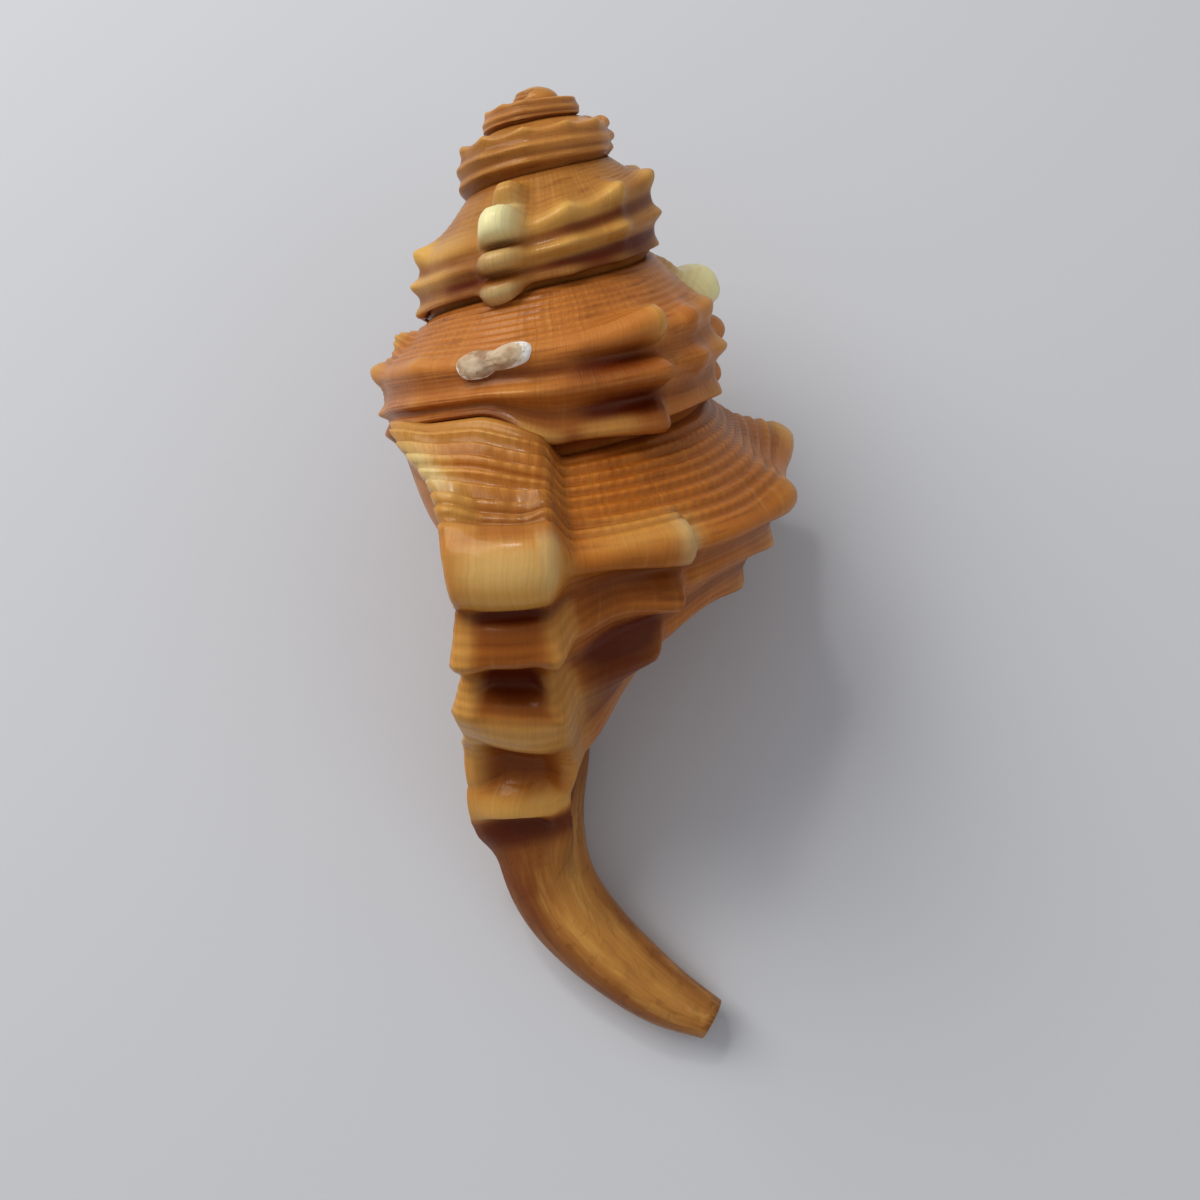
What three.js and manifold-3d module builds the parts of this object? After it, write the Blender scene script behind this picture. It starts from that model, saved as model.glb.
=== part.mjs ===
// A pear triton shell lying on its side, with the small lump of crust that grew on it.
// Millimetres, +Z up, spire towards +Y. The origin is the middle of the footprint.
// The shell surface is a strip that winds round the coiling axis: "theta" is the growth angle,
// 0 at the lip and negative towards the cap, and each turn hangs on the suture line of the last.
import * as THREE from "three";
import { mergeVertices } from "three/addons/utils/BufferGeometryUtils.js";
import Module from "manifold-3d";

// Spiral lines of the whorl: radius from the axis and depth below the cap, at these numbers
// of turns from the lip. The cap is at the first and the lip just before the last.
const turns = [-5, -4, -3, -2.25, -2, -1.5, -1, -0.75, -0.5, -0.2, -0.15, -0.11, -0.06, -0.03, 0.1];
const lines = {
  shoulder: {
    radius: [1.3, 3.7, 5.8, 8.3, 9.3, 11.8, 14, 14.8, 17.8, 20, 20.4, 20.7, 21.3, 21.6, 21.8],
    depth: [0.35, 1.5, 4, 7.7, 11.2, 14.9, 20.5, 23, 26.4, 33.3, 33.9, 34.2, 34.4, 34.5, 34.8],
  },
  middle: {
    radius: [1.6, 4.1, 6.3, 8.9, 9.9, 12.8, 14.4, 14.4, 16.4, 18.2, 18.5, 18.8, 19.1, 19.45, 19.6],
    depth: [0.8, 2.3, 5.2, 10.3, 13.4, 17.9, 23.7, 26.8, 30.6, 36.6, 37.1, 37.8, 38.3, 40.5, 40.8],
  },
  lower: {
    radius: [1.6, 4.05, 6.2, 8.9, 9.8, 12.6, 14.1, 14.2, 15.6, 15.6, 15.6, 15.7, 15.7, 15.8, 15.6],
    depth: [1.15, 2.8, 6.3, 12.6, 15.3, 20.9, 27.2, 30.2, 34.2, 40.4, 41.2, 42.8, 45.5, 47.4, 47.8],
  },
  suture: {
    radius: [1.5, 3.8, 5.9, 8.5, 9.4, 12, 13.5, 13.7, 14.6, 14, 13.8, 13.7, 13.4, 13.2, 13],
    depth: [1.3, 3, 6.9, 13.3, 15.6, 21.8, 28.3, 31.8, 36.2, 41.8, 42.8, 44.8, 50.2, 52.4, 52.8],
  },
  base: {
    radius: [0.5, 1.8, 3.6, 6, 6.8, 9, 10.8, 11.4, 11.8, 10.6, 10.5, 10.4, 10.3, 10.2, 10.2],
    depth: [1.6, 4.5, 10, 16.8, 19.4, 26, 33, 36, 39.4, 45.4, 46.4, 49.6, 55.2, 56.6, 57],
  },
  waist: {
    radius: [0.3, 1.2, 2.6, 3.9, 4.4, 5.6, 6.6, 6.9, 7, 6.2, 6.5, 7, 7.8, 7.9, 8],
    depth: [2, 6, 13, 21.6, 24.9, 32, 39, 42, 44.2, 48.4, 49.6, 54.6, 59, 59.5, 59.6],
  },
  neck: {
    radius: [0.2, 0.8, 1.6, 2.2, 2.4, 2.9, 3.3, 3.5, 3.6, 3.9, 4.3, 5.3, 5.8, 5.9, 6],
    depth: [2.4, 8, 17, 28, 32, 39, 45, 47, 48.5, 53, 54.6, 59.6, 61.6, 61.8, 61.9],
  },
};

// Just before the lip the last whorl climbs on the turn above it, over these growth angles of
// the turn above, and hides its lower cords.
const climb = { height: 3.5, start: [-374, -346], end: [-300, -240], middle: 0.15, lower: 0.8 };

// The relief stands out along the profile's normal. A control is a place on the profile: 0 at
// the suture above, 2, 4 and 6 on the three cords, 7 at the suture below, 10 at the neck.
// Heights are shares of the shoulder radius, but for the newest varix.
const cords = { controls: [2, 4, 6], widths: [0.45, 0.5, 0.55], heights: [0.012, 0.03, 0.03], sink: 0.012 };

// Varices: growth angle and strength of each thick old lip, then its beads' heights just below
// the suture and on the three cords.
const varices = [
  [-233, 1, 0.03, 0.06, 0.07, 0.07], [-477, 1, 0.02, 0.13, 0.05, 0.04],
  [-709, 0.8, 0.08, 0.2, 0.08, 0.05], [-950, 0.9, 0.02, 0.08, 0.05, 0.04],
  [-1190, 0.7, 0.02, 0.06, 0.03, 0.02], [-1430, 0.4, 0, 0, 0, 0],
];
const varixHalfWidth = 10.5;       // degrees
const varixEdge = 0.25;            // share of the half width over which its side rises
const varixHeights = [0, 0.04, 0.08, 0.05, 0.09, 0.05, 0.09, 0.08, 0.12, 0.12, 0.05, 0];
const beads = { controls: [0.85, 2.05, 4, 6], widths: [0.35, 0.75, 0.75, 0.7], spread: 1.05 };

// The newest varix, in millimetres: its older edge, its two margins and its middle at each whole
// control, and the beads on its middle as control, half width and height.
const newest = {
  olderEdge: [-9, -10.5, -11, -9.8, -11.8, -9, -12.8, -16.3, -20.6, -28.5, -38.4, -50],
  margins: [1.3, 1.7, 2.5, 1.6, 2.5, 1.5, 2.9, 2, 1.8, 2.3, 1.8, 0.2],
  middle: [1.2, 1.7, 1.5, 0.9, 1, 0.3, 0.7, 0.5, 0.2, 0.8, 1, 0.2],
  beads: [[2.2, 0.5, 1.6], [3.7, 0.5, 1.5], [6.3, 0.75, 2.3], [9.5, 0.42, 1.6]],
  marginShare: [0.1, 0.3],         // of the way across, where a margin gives way to the middle
  marginHold: 0.85,                // of the middle's height that a margin keeps at least
  rise: [-2.0, 2.6],               // degrees round the older edge
  fade: [10.3, 10.9],              // controls over which it ends on the canal
  skew: 0.02,                      // controls that the lowest bead drops for a degree back
  skewFrom: [8, 9.5],
};

// Knobs between the varices: growth angle, then height on the shoulder, middle and lower cords.
const knobs = [
  [-78, 0.05, 0.05, 0.05], [-114, 0.18, 0.06, 0.04], [-143, 0.12, 0.05, 0.04],
  [-172, 0.12, 0.05, 0.03], [-206, 0.14, 0.06, 0.09], [-281, 0.08, 0.05, 0.03],
  [-322, 0.03, 0.02, 0.02], [-362, 0.015, 0.02, 0.02], [-442, 0.07, 0.07, 0.06],
  [-520, 0.08, 0.05, 0.04], [-560, 0.08, 0.05, 0.04], [-604, 0.12, 0.12, 0.09],
  [-650, 0.12, 0.06, 0.05], [-740, 0.1, 0.05, 0.04], [-768, 0.16, 0.08, 0.03],
  [-804, 0.13, 0.08, 0.04], [-840, 0.1, 0.06, 0.04], [-880, 0.1, 0.05, 0.03],
  [-915, 0.1, 0.05, 0.03],
];
for (let angle = -976; angle > -1165; angle -= 34) knobs.push([angle, 0.07, 0.02, 0.02]);
for (let angle = -1225; angle > -1420; angle -= 36) knobs.push([angle, 0.04, 0.01, 0.01]);
const knobSides = { newer: 9, older: 5 };      // degrees
const knobSharpness = 1.5;         // power of the knobs' fall: 2 is round, 1 a point
const knobHeight = 0.5;            // controls from a knob's crest to its foot
const knobSpill = 0.25;            // share of two cords' knobs on the groove between them
const spillControls = [3, 5];
const spillWidth = 0.5;

// Ribs: like knobs that run on from cord to cord, with a sharp drop on their older side.
const ribs = [[-37, 0.09, 0.1, 0.09], [-405, 0.17, 0.14, 0.13]];
const ribWidths = [0.55, 0.7, 0.7];
const ribShape = { newer: 17, power: 1.6, drop: 2.5, crest: 0.45 };

// The canal: a rolled tube below the neck, with its middle line given in the coiling frame.
const canalEnd = 85;               // depth of its tip before it is bent
const canalSteps = [0.2, 0.42, 0.62, 0.8, 1];
const canalRadii = [5.0, 4.5, 3.7, 2.9, 1.9];
const neckHold = 0.8;              // how much a slender neck holds back the canal below it
const bendDepths = [38, 44, 50, 56, 62, 68, 74, 80, 85];
const bendAlong = [38, 44, 50, 56, 62, 67.6, 72.4, 76.4, 79];
const bendLeft = [0, 0, 0.4, 1.4, 2.2, 1, -2.8, -8, -12.9];
const bendFront = [0, 0, 0.35, 1.2, 3.6, 6.2, 8.2, 9.8, 10.8];

// The aperture and the hollow behind it. The hollow is an oval passage inside the last whorl,
// and a groove runs from it down the canal and opens along a narrow slit.
const wall = 1.3;
const callus = 0.6;
const cornerInset = 1.6;           // from the suture to the hollow's upper corner
const lipTheta = 12;               // growth angle of the lip's edge
const hollowStart = 100;           // the passage is cut from here, outside the lip,
const hollowEnd = -160;            // to here, inside
const wallControls = [1, 1.5, 2, 3, 4, 5, 6, 7, 7.5, 8, 8.5, 9];
const columellaControls = [10, 9.5, 9, 8.5, 8];
const slitTheta = 62;              // growth angle the canal's slit faces
const slitHalfWidth = 0.8;
const grooveShare = 0.5;           // of the canal's radius
const grooveDepths = { start: 51, centred: 66, end: 88, step: 1.5 };
const grooveOffset = 3.6;          // how far off the middle line the groove starts
const slitReach = 2;               // how far the slit is cut past the canal's surface
const groovePoints = 10;
const tipDimple = 2.5;

// The mesh: columns in each turn, and rows between the profile's points.
const columnsPerTurn = 60;
const startTheta = -1860;
const growIn = 80;                 // degrees over which the first whorl rises from the slope of
const riseShare = 0.5;             // the next one, and the share of that slope it starts on
const spireSteps = [1, 2, 1, 1, 1, 1, 1];
const baseSteps = [2, 2, 2, 1, 1, 1, 1, 1];
const nearby = 0.5;                // step along a line or a profile for its direction

// How the shell lies: its axis slopes down from the spire to the canal.
const axisSlope = 28.1;            // degrees below level
const axisYaw = 0.8;
const lean = { reach: 0.7, end: 24 };          // the cap leans left, down to this depth
const zeroFace = 6;                // degrees from straight up to the middle of the lip varix
const flatDepth = 0.5;             // how much the resting points are worn flat

// The crust: lumps side by side on the last spire whorl, just below its shoulder, given by
// growth angle, control and half sizes along the whorl, along the axis and outwards.
const crustLumps = [
  { theta: -346, control: 2.2, halfSizes: [1.8, 1.2, 0.95] },
  { theta: -357.5, control: 2.02, halfSizes: [1.7, 1.0, 0.9] },
];
const crustRows = 10;              // of the faceted lump
const gap = 0.3;                   // between the crust and the shell
const crustSlant = { theta: -4, control: -0.07 };

const degrees = Math.PI / 180;
const clamp = (x, low, high) => Math.min(high, Math.max(low, x));
const mix = (a, b, t) => a + (b - a) * t;
const smooth = (low, high, x) => {
  const t = clamp((x - low) / (high - low), 0, 1);
  return t * t * (3 - 2 * t);
};

// A smooth curve through values at rising stations, straight beyond its ends.
function curve(stations, values, x) {
  const last = values.length - 1;
  let i = 0;
  while (i < last - 1 && x > stations[i + 1]) i += 1;
  const secant = (k) => (values[k + 1] - values[k]) / (stations[k + 1] - stations[k]);
  const slopeAt = (k) => {
    if (k === 0) return secant(0);
    if (k === last) return secant(last - 1);
    const before = stations[k] - stations[k - 1];
    const after = stations[k + 1] - stations[k];
    return (secant(k - 1) * after + secant(k) * before) / (before + after);
  };
  const width = stations[i + 1] - stations[i];
  const t = (x - stations[i]) / width;
  if (t < 0) return values[0] + slopeAt(0) * t * width;
  if (t > 1) return values[last] + slopeAt(last) * (t - 1) * width;
  const [a, b] = [values[i], values[i + 1]];
  const [p, q] = [slopeAt(i) * width, slopeAt(i + 1) * width];
  return a + t * (p + t * (3 * (b - a) - 2 * p - q + t * (2 * (a - b) + p + q)));
}

// A smooth curve through values at whole-number stations.
const through = (values, position) => curve(values.map((_, k) => k), values, position);

// A spiral line grows by ratio, so its logarithm is the smooth curve.
function lineAt(name, theta) {
  const { radius, depth } = lines[name];
  const turn = theta / 360;
  return [
    Math.exp(curve(turns, radius.map(Math.log), turn)),
    Math.exp(curve(turns, depth.map(Math.log), turn)),
  ];
}

function climbAt(theta) {
  return climb.height * smooth(...climb.start, theta) * (1 - smooth(...climb.end, theta));
}

const bell = (x, centre, width) => Math.exp(-(((x - centre) / width) ** 2));
const peak = (x, centre, width) => Math.exp(-(Math.abs((x - centre) / width) ** knobSharpness));
const flatBell = (x, centre, width) => Math.exp(-(((x - centre) / width) ** 4));
const weigh = (shares, weights) => shares.reduce((sum, share, k) => sum + share * weights[k], 0);
const tableAt = (values, control) => {
  const k = clamp(Math.floor(control), 0, values.length - 2);
  return mix(values[k], values[k + 1], clamp(control - k, 0, 1));
};

// Height of the newest varix in millimetres.
function newestAt(theta, control) {
  const onCanal = smooth(...newest.skewFrom, control);
  const level = control - newest.skew * Math.max(-theta, 0) * onCanal;
  const older = tableAt(newest.olderEdge, level);
  const newer = lipTheta + through(lipSlides, level);
  let middle = tableAt(newest.middle, level);
  for (const [centre, width, height] of newest.beads) middle += height * flatBell(level, centre, width);
  const share = (theta - older) / (newer - older);
  const inMiddle = smooth(...newest.marginShare, share) * smooth(...newest.marginShare, 1 - share);
  const margin = Math.max(tableAt(newest.margins, level), middle * newest.marginHold);
  const height = mix(margin, middle, inMiddle);
  return height * smooth(...newest.rise, theta - older) * (1 - smooth(...newest.fade, level));
}

// How far the cords, knobs, ribs and varices stand out, in millimetres.
function reliefAt(theta, control) {
  const onCords = cords.controls.map((centre, k) => bell(control, centre, cords.widths[k]));
  const onPeaks = cords.controls.map((centre) => peak(control, centre, knobHeight));
  const onSpills = spillControls.map((centre) => bell(control, centre, spillWidth));
  let height = weigh(cords.heights, onCords) - cords.sink;
  for (const [middle, ...heights] of knobs) {
    const off = theta - middle;
    const across = peak(off, 0, off > 0 ? knobSides.newer : knobSides.older);
    height += across * (weigh(heights, onPeaks) + knobSpill * weigh(heights.slice(0, 2), onSpills));
  }
  const onRibs = cords.controls.map((centre, k) => {
    return mix(flatBell(control, centre, ribWidths[k]), onCords[k], ribShape.crest);
  });
  for (const [middle, ...heights] of ribs) {
    const off = theta - middle;
    const ahead = (Math.max(off, 0) / ribShape.newer) ** ribShape.power;
    const across = smooth(-ribShape.drop, ribShape.drop / 2, off) * Math.exp(-ahead);
    height += across * weigh(heights, onRibs);
  }
  const onBeads = beads.controls.map((centre, k) => flatBell(control, centre, beads.widths[k]));
  let ridge = 0;
  for (const [middle, strength, ...heights] of varices) {
    const across = (theta - middle) / varixHalfWidth;
    const rise = smooth(-1 - varixEdge, -1 + varixEdge, across);
    const fall = 1 - smooth(1 - varixEdge, 1 + varixEdge, across);
    ridge = Math.max(ridge, rise * fall * strength);
    height += weigh(heights, onBeads) * flatBell(across, 0, beads.spread);
  }
  height += ridge * tableAt(varixHeights, control);
  return height * lineAt("shoulder", theta)[0] + newestAt(theta, control);
}

// The smooth profile's points at a growth angle, from the suture above down to the neck.
function profile(theta) {
  const sutureAbove = lineAt("suture", theta - 360);
  const shoulder = lineAt("shoulder", theta);
  const middle = lineAt("middle", theta);
  const lower = lineAt("lower", theta);
  const suture = lineAt("suture", theta);
  const lifted = climbAt(theta);
  middle[1] -= climb.middle * lifted;
  lower[1] -= climb.lower * lifted;
  suture[1] -= lifted;
  sutureAbove[1] -= climbAt(theta - 360);
  const between = (a, b) => [mix(a[0], b[0], 0.5), mix(a[1], b[1], 0.5)];
  return [
    sutureAbove,
    between(sutureAbove, shoulder),
    shoulder,
    between(shoulder, middle),
    middle,
    between(middle, lower),
    lower,
    suture,
    lineAt("base", theta),
    lineAt("waist", theta),
    lineAt("neck", theta),
  ];
}

// Growth angles of one mesh row: near the lip the rows slide forward so that the lip's edge
// runs obliquely, and on the columella side the edge slides too, which opens the canal's slit.
const spireRows = spireSteps.reduce((a, b) => a + b, 0);
const rowCount = spireRows + baseSteps.reduce((a, b) => a + b, 0);
const lipSlides = [42, 9, -3, -2, -1.4, 2, 3.6, 8.6, 16.5, 20.5, 27, 36, 38, 38, 38, 38];
const innerSlides = [0, 0, 0, 2, 6, 14, 24, 32, 24, 18, 30, 46, 58, 62, 62, 62];
const slideFade = 110;             // degrees over which they fade out

// The control position (0 at the suture above) of each mesh row.
const rowControls = [0];
[...spireSteps, ...baseSteps].forEach((steps, index) => {
  for (let k = 1; k <= steps; k += 1) rowControls.push(index + k / steps);
});

function rowTheta(theta, row) {
  const control = rowControls[row];
  const lipPart = through(lipSlides, control) * smooth(lipTheta - slideFade, lipTheta, theta);
  const away = Math.abs(theta + 360 - lipTheta);
  const innerPart = through(innerSlides, control) * (1 - smooth(0, slideFade, away));
  return theta + lipPart + innerPart;
}

function canalRadius(k, share, neckRadius) {
  return mix(canalRadii[k], Math.min(canalRadii[k], neckRadius), neckHold * (1 - share));
}

// One point of the smooth surface in the coiling frame: radius and depth.
function smoothAt(theta, control) {
  const points = profile(theta);
  const [neckRadius, neckDepth] = points[points.length - 1];
  canalSteps.forEach((share, k) => {
    points.push([canalRadius(k, share, neckRadius), mix(neckDepth, canalEnd, share)]);
  });
  const radius = through(points.map((p) => p[0]), control);
  const depth = through(points.map((p) => p[1]), control);
  return [radius, depth];
}

// The same, moved out by a distance at right angles to the profile.
function offsetAt(theta, control, distance) {
  const before = smoothAt(theta, control - nearby);
  const after = smoothAt(theta, control + nearby);
  const [run, drop] = [after[0] - before[0], after[1] - before[1]];
  const length = Math.hypot(run, drop);
  const [radius, depth] = smoothAt(theta, control);
  return [radius + (distance * drop) / length, depth - (distance * run) / length];
}

// A point of the outer surface, with its relief.
const surfaceAt = (theta, control) => offsetAt(theta, control, reliefAt(theta, control));

// Places a point of the coiling frame in space, along the bent middle line.
const slope = axisSlope * degrees;
const yaw = axisYaw * degrees;
const along = new THREE.Vector3(
  Math.sin(yaw) * Math.cos(slope), -Math.cos(yaw) * Math.cos(slope), -Math.sin(slope));
const front = new THREE.Vector3(0, 0, 1).addScaledVector(along, -along.z).normalize();
const left = new THREE.Vector3().crossVectors(along, front);

function middleLine(depth) {
  const last = bendDepths.length - 1;
  if (depth <= bendDepths[0]) {
    return new THREE.Vector3(depth, lean.reach * clamp(1 - depth / lean.end, 0, 1) ** 2, 0);
  }
  let k = 0;
  while (k < last - 1 && depth > bendDepths[k + 1]) k += 1;
  const position = k + (depth - bendDepths[k]) / (bendDepths[k + 1] - bendDepths[k]);
  return new THREE.Vector3(
    through(bendAlong, position), through(bendLeft, position), through(bendFront, position));
}

function place(radius, theta, depth) {
  const face = (theta + zeroFace) * degrees;
  const middle = middleLine(depth);
  const tangent = middleLine(depth + nearby).sub(middleLine(depth - nearby)).normalize();
  const frontward = new THREE.Vector3(0, 0, 1).addScaledVector(tangent, -tangent.z).normalize();
  const leftward = new THREE.Vector3().crossVectors(frontward, tangent);
  const local = middle
    .addScaledVector(frontward, radius * Math.cos(face))
    .addScaledVector(leftward, radius * Math.sin(face));
  return new THREE.Vector3()
    .addScaledVector(along, local.x)
    .addScaledVector(left, local.y)
    .addScaledVector(front, local.z);
}

// The whole shell as one closed mesh.
function shellMesh() {
  const step = 360 / columnsPerTurn;
  const lipColumn = Math.round((lipTheta - startTheta) / step);
  const vertices = [];
  const triangles = [];
  const add = (point) => vertices.push(point) - 1;
  const triangle = (a, b, c) => {
    if (a !== b && b !== c && c !== a) triangles.push([a, c, b]);
  };
  const quad = (a, b, c, d) => {
    triangle(a, b, c);
    triangle(a, c, d);
  };

  // The outer surface. Each whorl's first row is the last row of the whorl before it.
  const outer = [];
  const apex = add(place(0, 0, 0));
  const pointAt = (theta, row) => {
    const angle = rowTheta(theta, row);
    const [radius, depth] = surfaceAt(angle, rowControls[row]);
    return place(radius, angle, depth);
  };
  for (let i = 0; i <= lipColumn; i += 1) {
    const theta = startTheta + i * step;
    const rows = i < lipColumn - columnsPerTurn ? spireRows : rowCount;
    const column = [i < columnsPerTurn ? apex : outer[i - columnsPerTurn][spireRows]];
    for (let row = 1; row <= rows; row += 1) {
      const onSlope = place(0, 0, 0).lerp(pointAt(theta + 360, 1), (riseShare * row) / spireRows);
      const grown = smooth(startTheta, startTheta + growIn, theta);
      column.push(add(onSlope.lerp(pointAt(theta, row), grown)));
    }
    outer.push(column);
  }
  for (let i = 0; i < lipColumn; i += 1) {
    const rows = Math.min(outer[i].length, outer[i + 1].length) - 1;
    const atSeam = i === columnsPerTurn - 1;
    for (let row = atSeam ? 1 : 0; row < rows; row += 1) {
      quad(outer[i][row], outer[i][row + 1], outer[i + 1][row + 1], outer[i + 1][row]);
    }
  }

  // The slope just behind the place where the first whorl starts.
  const [before, after] = [outer[columnsPerTurn - 1][1], outer[columnsPerTurn][1]];
  for (let row = 0; row < spireRows; row += 1) triangle(outer[0][row], before, outer[0][row + 1]);
  triangle(outer[0][spireRows], before, after);

  // The canal's end: a shallow dimple round its middle.
  const firstBase = lipColumn - columnsPerTurn;
  const dimple = add(place(0, 0, canalEnd - tipDimple));
  for (let i = firstBase; i < lipColumn; i += 1) {
    triangle(outer[i][rowCount], dimple, outer[i + 1][rowCount]);
  }

  // The aperture is closed here by a web between the lip's edge and the columella's.
  const lip = outer[lipColumn];
  const inner = outer[firstBase];
  const joined = spireRows + 1;
  for (let row = 0; row < joined; row += 1) triangle(inner[joined], lip[row], lip[row + 1]);
  for (let row = joined; row < rowCount; row += 1) {
    quad(lip[row], lip[row + 1], inner[row + 1], inner[row]);
  }
  triangle(lip[rowCount], dimple, inner[rowCount]);
  return { vertices, triangles };
}

// A closed tube through sections that have equally many points, closed at both ends by fans.
function tubeMesh(sections) {
  const vertices = sections.flat();
  const triangles = [];
  const count = sections[0].length;
  for (let k = 0; k < sections.length - 1; k += 1) {
    for (let j = 0; j < count; j += 1) {
      const [a, b] = [k * count + j, k * count + ((j + 1) % count)];
      triangles.push([a, b, b + count], [a, b + count, a + count]);
    }
  }
  [0, sections.length - 1].forEach((k) => {
    const centre = new THREE.Vector3();
    sections[k].forEach((point) => centre.addScaledVector(point, 1 / count));
    vertices.push(centre);
    for (let j = 0; j < count; j += 1) {
      const [a, b] = [k * count + j, k * count + ((j + 1) % count)];
      triangles.push(k === 0 ? [b, a, vertices.length - 1] : [a, b, vertices.length - 1]);
    }
  });
  return { vertices, triangles };
}

// One section of the passage: down the inside of the wall and back up the columella.
function hollowSection(theta) {
  const corner = smoothAt(theta, 0);
  const section = [
    [corner[0], corner[1] + cornerInset],
    ...wallControls.map((control) => offsetAt(theta, control, -wall)),
    ...columellaControls.map((control) => offsetAt(theta - 360, control, callus)),
  ];
  return section.map(([radius, depth]) => place(radius, theta, depth));
}

// One section of the groove: a circle drawn out towards the slit.
function grooveSection(depth) {
  const { start, centred } = grooveDepths;
  const share = clamp((depth - start) / (canalEnd - start), 0, 1);
  const around = curve(canalSteps, canalRadii, share);
  const size = grooveShare * around;
  const offset = grooveOffset * (1 - smooth(start, centred, depth));
  const mouth = around + slitReach;
  const points = [[mouth, -slitHalfWidth], [mouth, slitHalfWidth]];
  for (let k = 1; k < groovePoints; k += 1) {
    const angle = (2 * Math.PI * k) / groovePoints;
    points.push([offset + size * Math.cos(angle), size * Math.sin(angle)]);
  }
  return points.map(([x, y]) => {
    return place(Math.hypot(x, y), slitTheta + Math.atan2(y, x) / degrees, depth);
  });
}

const wasm = await Module();
wasm.setup();

function solidOf(geometry) {
  const bare = geometry.clone();
  bare.deleteAttribute("normal");
  bare.deleteAttribute("uv");
  const merged = mergeVertices(bare, 1e-4);
  return new wasm.Manifold(new wasm.Mesh({
    numProp: 3,
    vertProperties: Float32Array.from(merged.attributes.position.array),
    triVerts: Uint32Array.from(merged.index.array),
  }));
}

function geometryOf(solid) {
  const { vertProperties, triVerts } = solid.getMesh();
  const geometry = new THREE.BufferGeometry();
  geometry.setAttribute("position", new THREE.Float32BufferAttribute(vertProperties, 3));
  geometry.setIndex(Array.from(triVerts));
  return geometry;
}

function surfaceGeometry({ vertices, triangles }) {
  const geometry = new THREE.BufferGeometry();
  const flat = vertices.flatMap((p) => [p.x, p.y, p.z]);
  geometry.setAttribute("position", new THREE.Float32BufferAttribute(flat, 3));
  geometry.setIndex(triangles.flat());
  return geometry;
}

// The shell, hollowed, with its resting points worn flat.
function shellSolid() {
  const filled = solidOf(surfaceGeometry(shellMesh()));
  const step = 360 / columnsPerTurn;
  const passage = [];
  for (let theta = hollowStart; theta >= hollowEnd; theta -= step) passage.push(hollowSection(theta));
  const groove = [];
  const { start, end, step: grooveStep } = grooveDepths;
  for (let depth = start; depth <= end; depth += grooveStep) groove.push(grooveSection(depth));
  const whole = filled
    .subtract(solidOf(surfaceGeometry(tubeMesh(passage))))
    .subtract(solidOf(surfaceGeometry(tubeMesh(groove))));
  const { min, max } = whole.boundingBox();
  const reach = 2 * (max[1] - min[1]);
  const below = new THREE.BoxGeometry(reach, reach, reach);
  below.translate(0, 0, min[2] + flatDepth - reach / 2);
  return { solid: whole.subtract(solidOf(below)), min, max };
}

// The crust follows the whorl under it, with a small gap.
function crustSolid(shell) {
  let crust = null;
  for (const { theta, control, halfSizes } of crustLumps) {
    const height = reliefAt(theta, control);
    const at = (angle, level, off) => {
      const [radius, depth] = offsetAt(angle, level, height + off);
      return place(radius, angle, depth);
    };
    const seat = at(theta, control, 0);
    const outward = at(theta, control, 1).sub(seat).normalize();
    const ahead = at(theta + crustSlant.theta, control + crustSlant.control, 0).sub(seat);
    const onward = ahead.addScaledVector(outward, -ahead.dot(outward)).normalize();
    const lump = new THREE.SphereGeometry(1, crustRows + 2, crustRows);
    lump.scale(...halfSizes);
    const sideways = new THREE.Vector3().crossVectors(outward, onward).normalize();
    const turned = new THREE.Matrix4().makeBasis(onward, sideways, outward).setPosition(seat);
    lump.applyMatrix4(turned);
    const solid = solidOf(lump).subtract(shell.translate(outward.multiplyScalar(gap).toArray()));
    crust = crust ? crust.add(solid) : solid;
  }
  return crust;
}

function finish(colour, roughness) {
  return new THREE.MeshStandardMaterial({ color: colour, roughness, metalness: 0 });
}

function named(name, solid, material) {
  const mesh = new THREE.Mesh(geometryOf(solid), material);
  mesh.name = name;
  return mesh;
}

const { solid: shell, min, max } = shellSolid();
const model = new THREE.Group();
model.add(named("shell", shell, finish(0xc97a35, 0.45)));
model.add(named("crust", crustSolid(shell), finish(0xe8dccb, 0.85)));
for (const piece of model.children) {
  piece.geometry.translate(-(min[0] + max[0]) / 2, -(min[1] + max[1]) / 2, -min[2] - flatDepth);
}

export default model;
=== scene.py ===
# A pear triton shell lying on its side, with the lump of crust that grew on it.
# Lengths are in millimetres until a mesh is made. The shell winds round a sloping axis:
# "theta" is the growth angle in degrees, 0 in the middle of the newest lip's ridge and negative
# towards the tip. "band" counts along the section of a whorl, from the suture above (0) over the
# three rows of knobs (2, 4 and 6) to the base (8), the waist (9), the neck (10) and the canal
# (11 to 15).
import math

import bmesh
import bpy
import numpy as np
from mathutils import Matrix, Vector


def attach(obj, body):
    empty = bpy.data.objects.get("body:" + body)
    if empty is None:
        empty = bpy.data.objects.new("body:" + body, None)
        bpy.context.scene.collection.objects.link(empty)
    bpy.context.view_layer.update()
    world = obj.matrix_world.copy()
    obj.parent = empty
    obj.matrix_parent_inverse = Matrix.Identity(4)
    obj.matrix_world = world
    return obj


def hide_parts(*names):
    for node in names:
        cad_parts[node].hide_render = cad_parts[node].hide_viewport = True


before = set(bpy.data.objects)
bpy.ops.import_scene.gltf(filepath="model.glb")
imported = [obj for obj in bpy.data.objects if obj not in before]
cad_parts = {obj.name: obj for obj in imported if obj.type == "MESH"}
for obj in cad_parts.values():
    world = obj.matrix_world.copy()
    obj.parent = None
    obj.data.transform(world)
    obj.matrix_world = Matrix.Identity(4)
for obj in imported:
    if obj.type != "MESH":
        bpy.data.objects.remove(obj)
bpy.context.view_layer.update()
millimetre = 0.001

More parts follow.
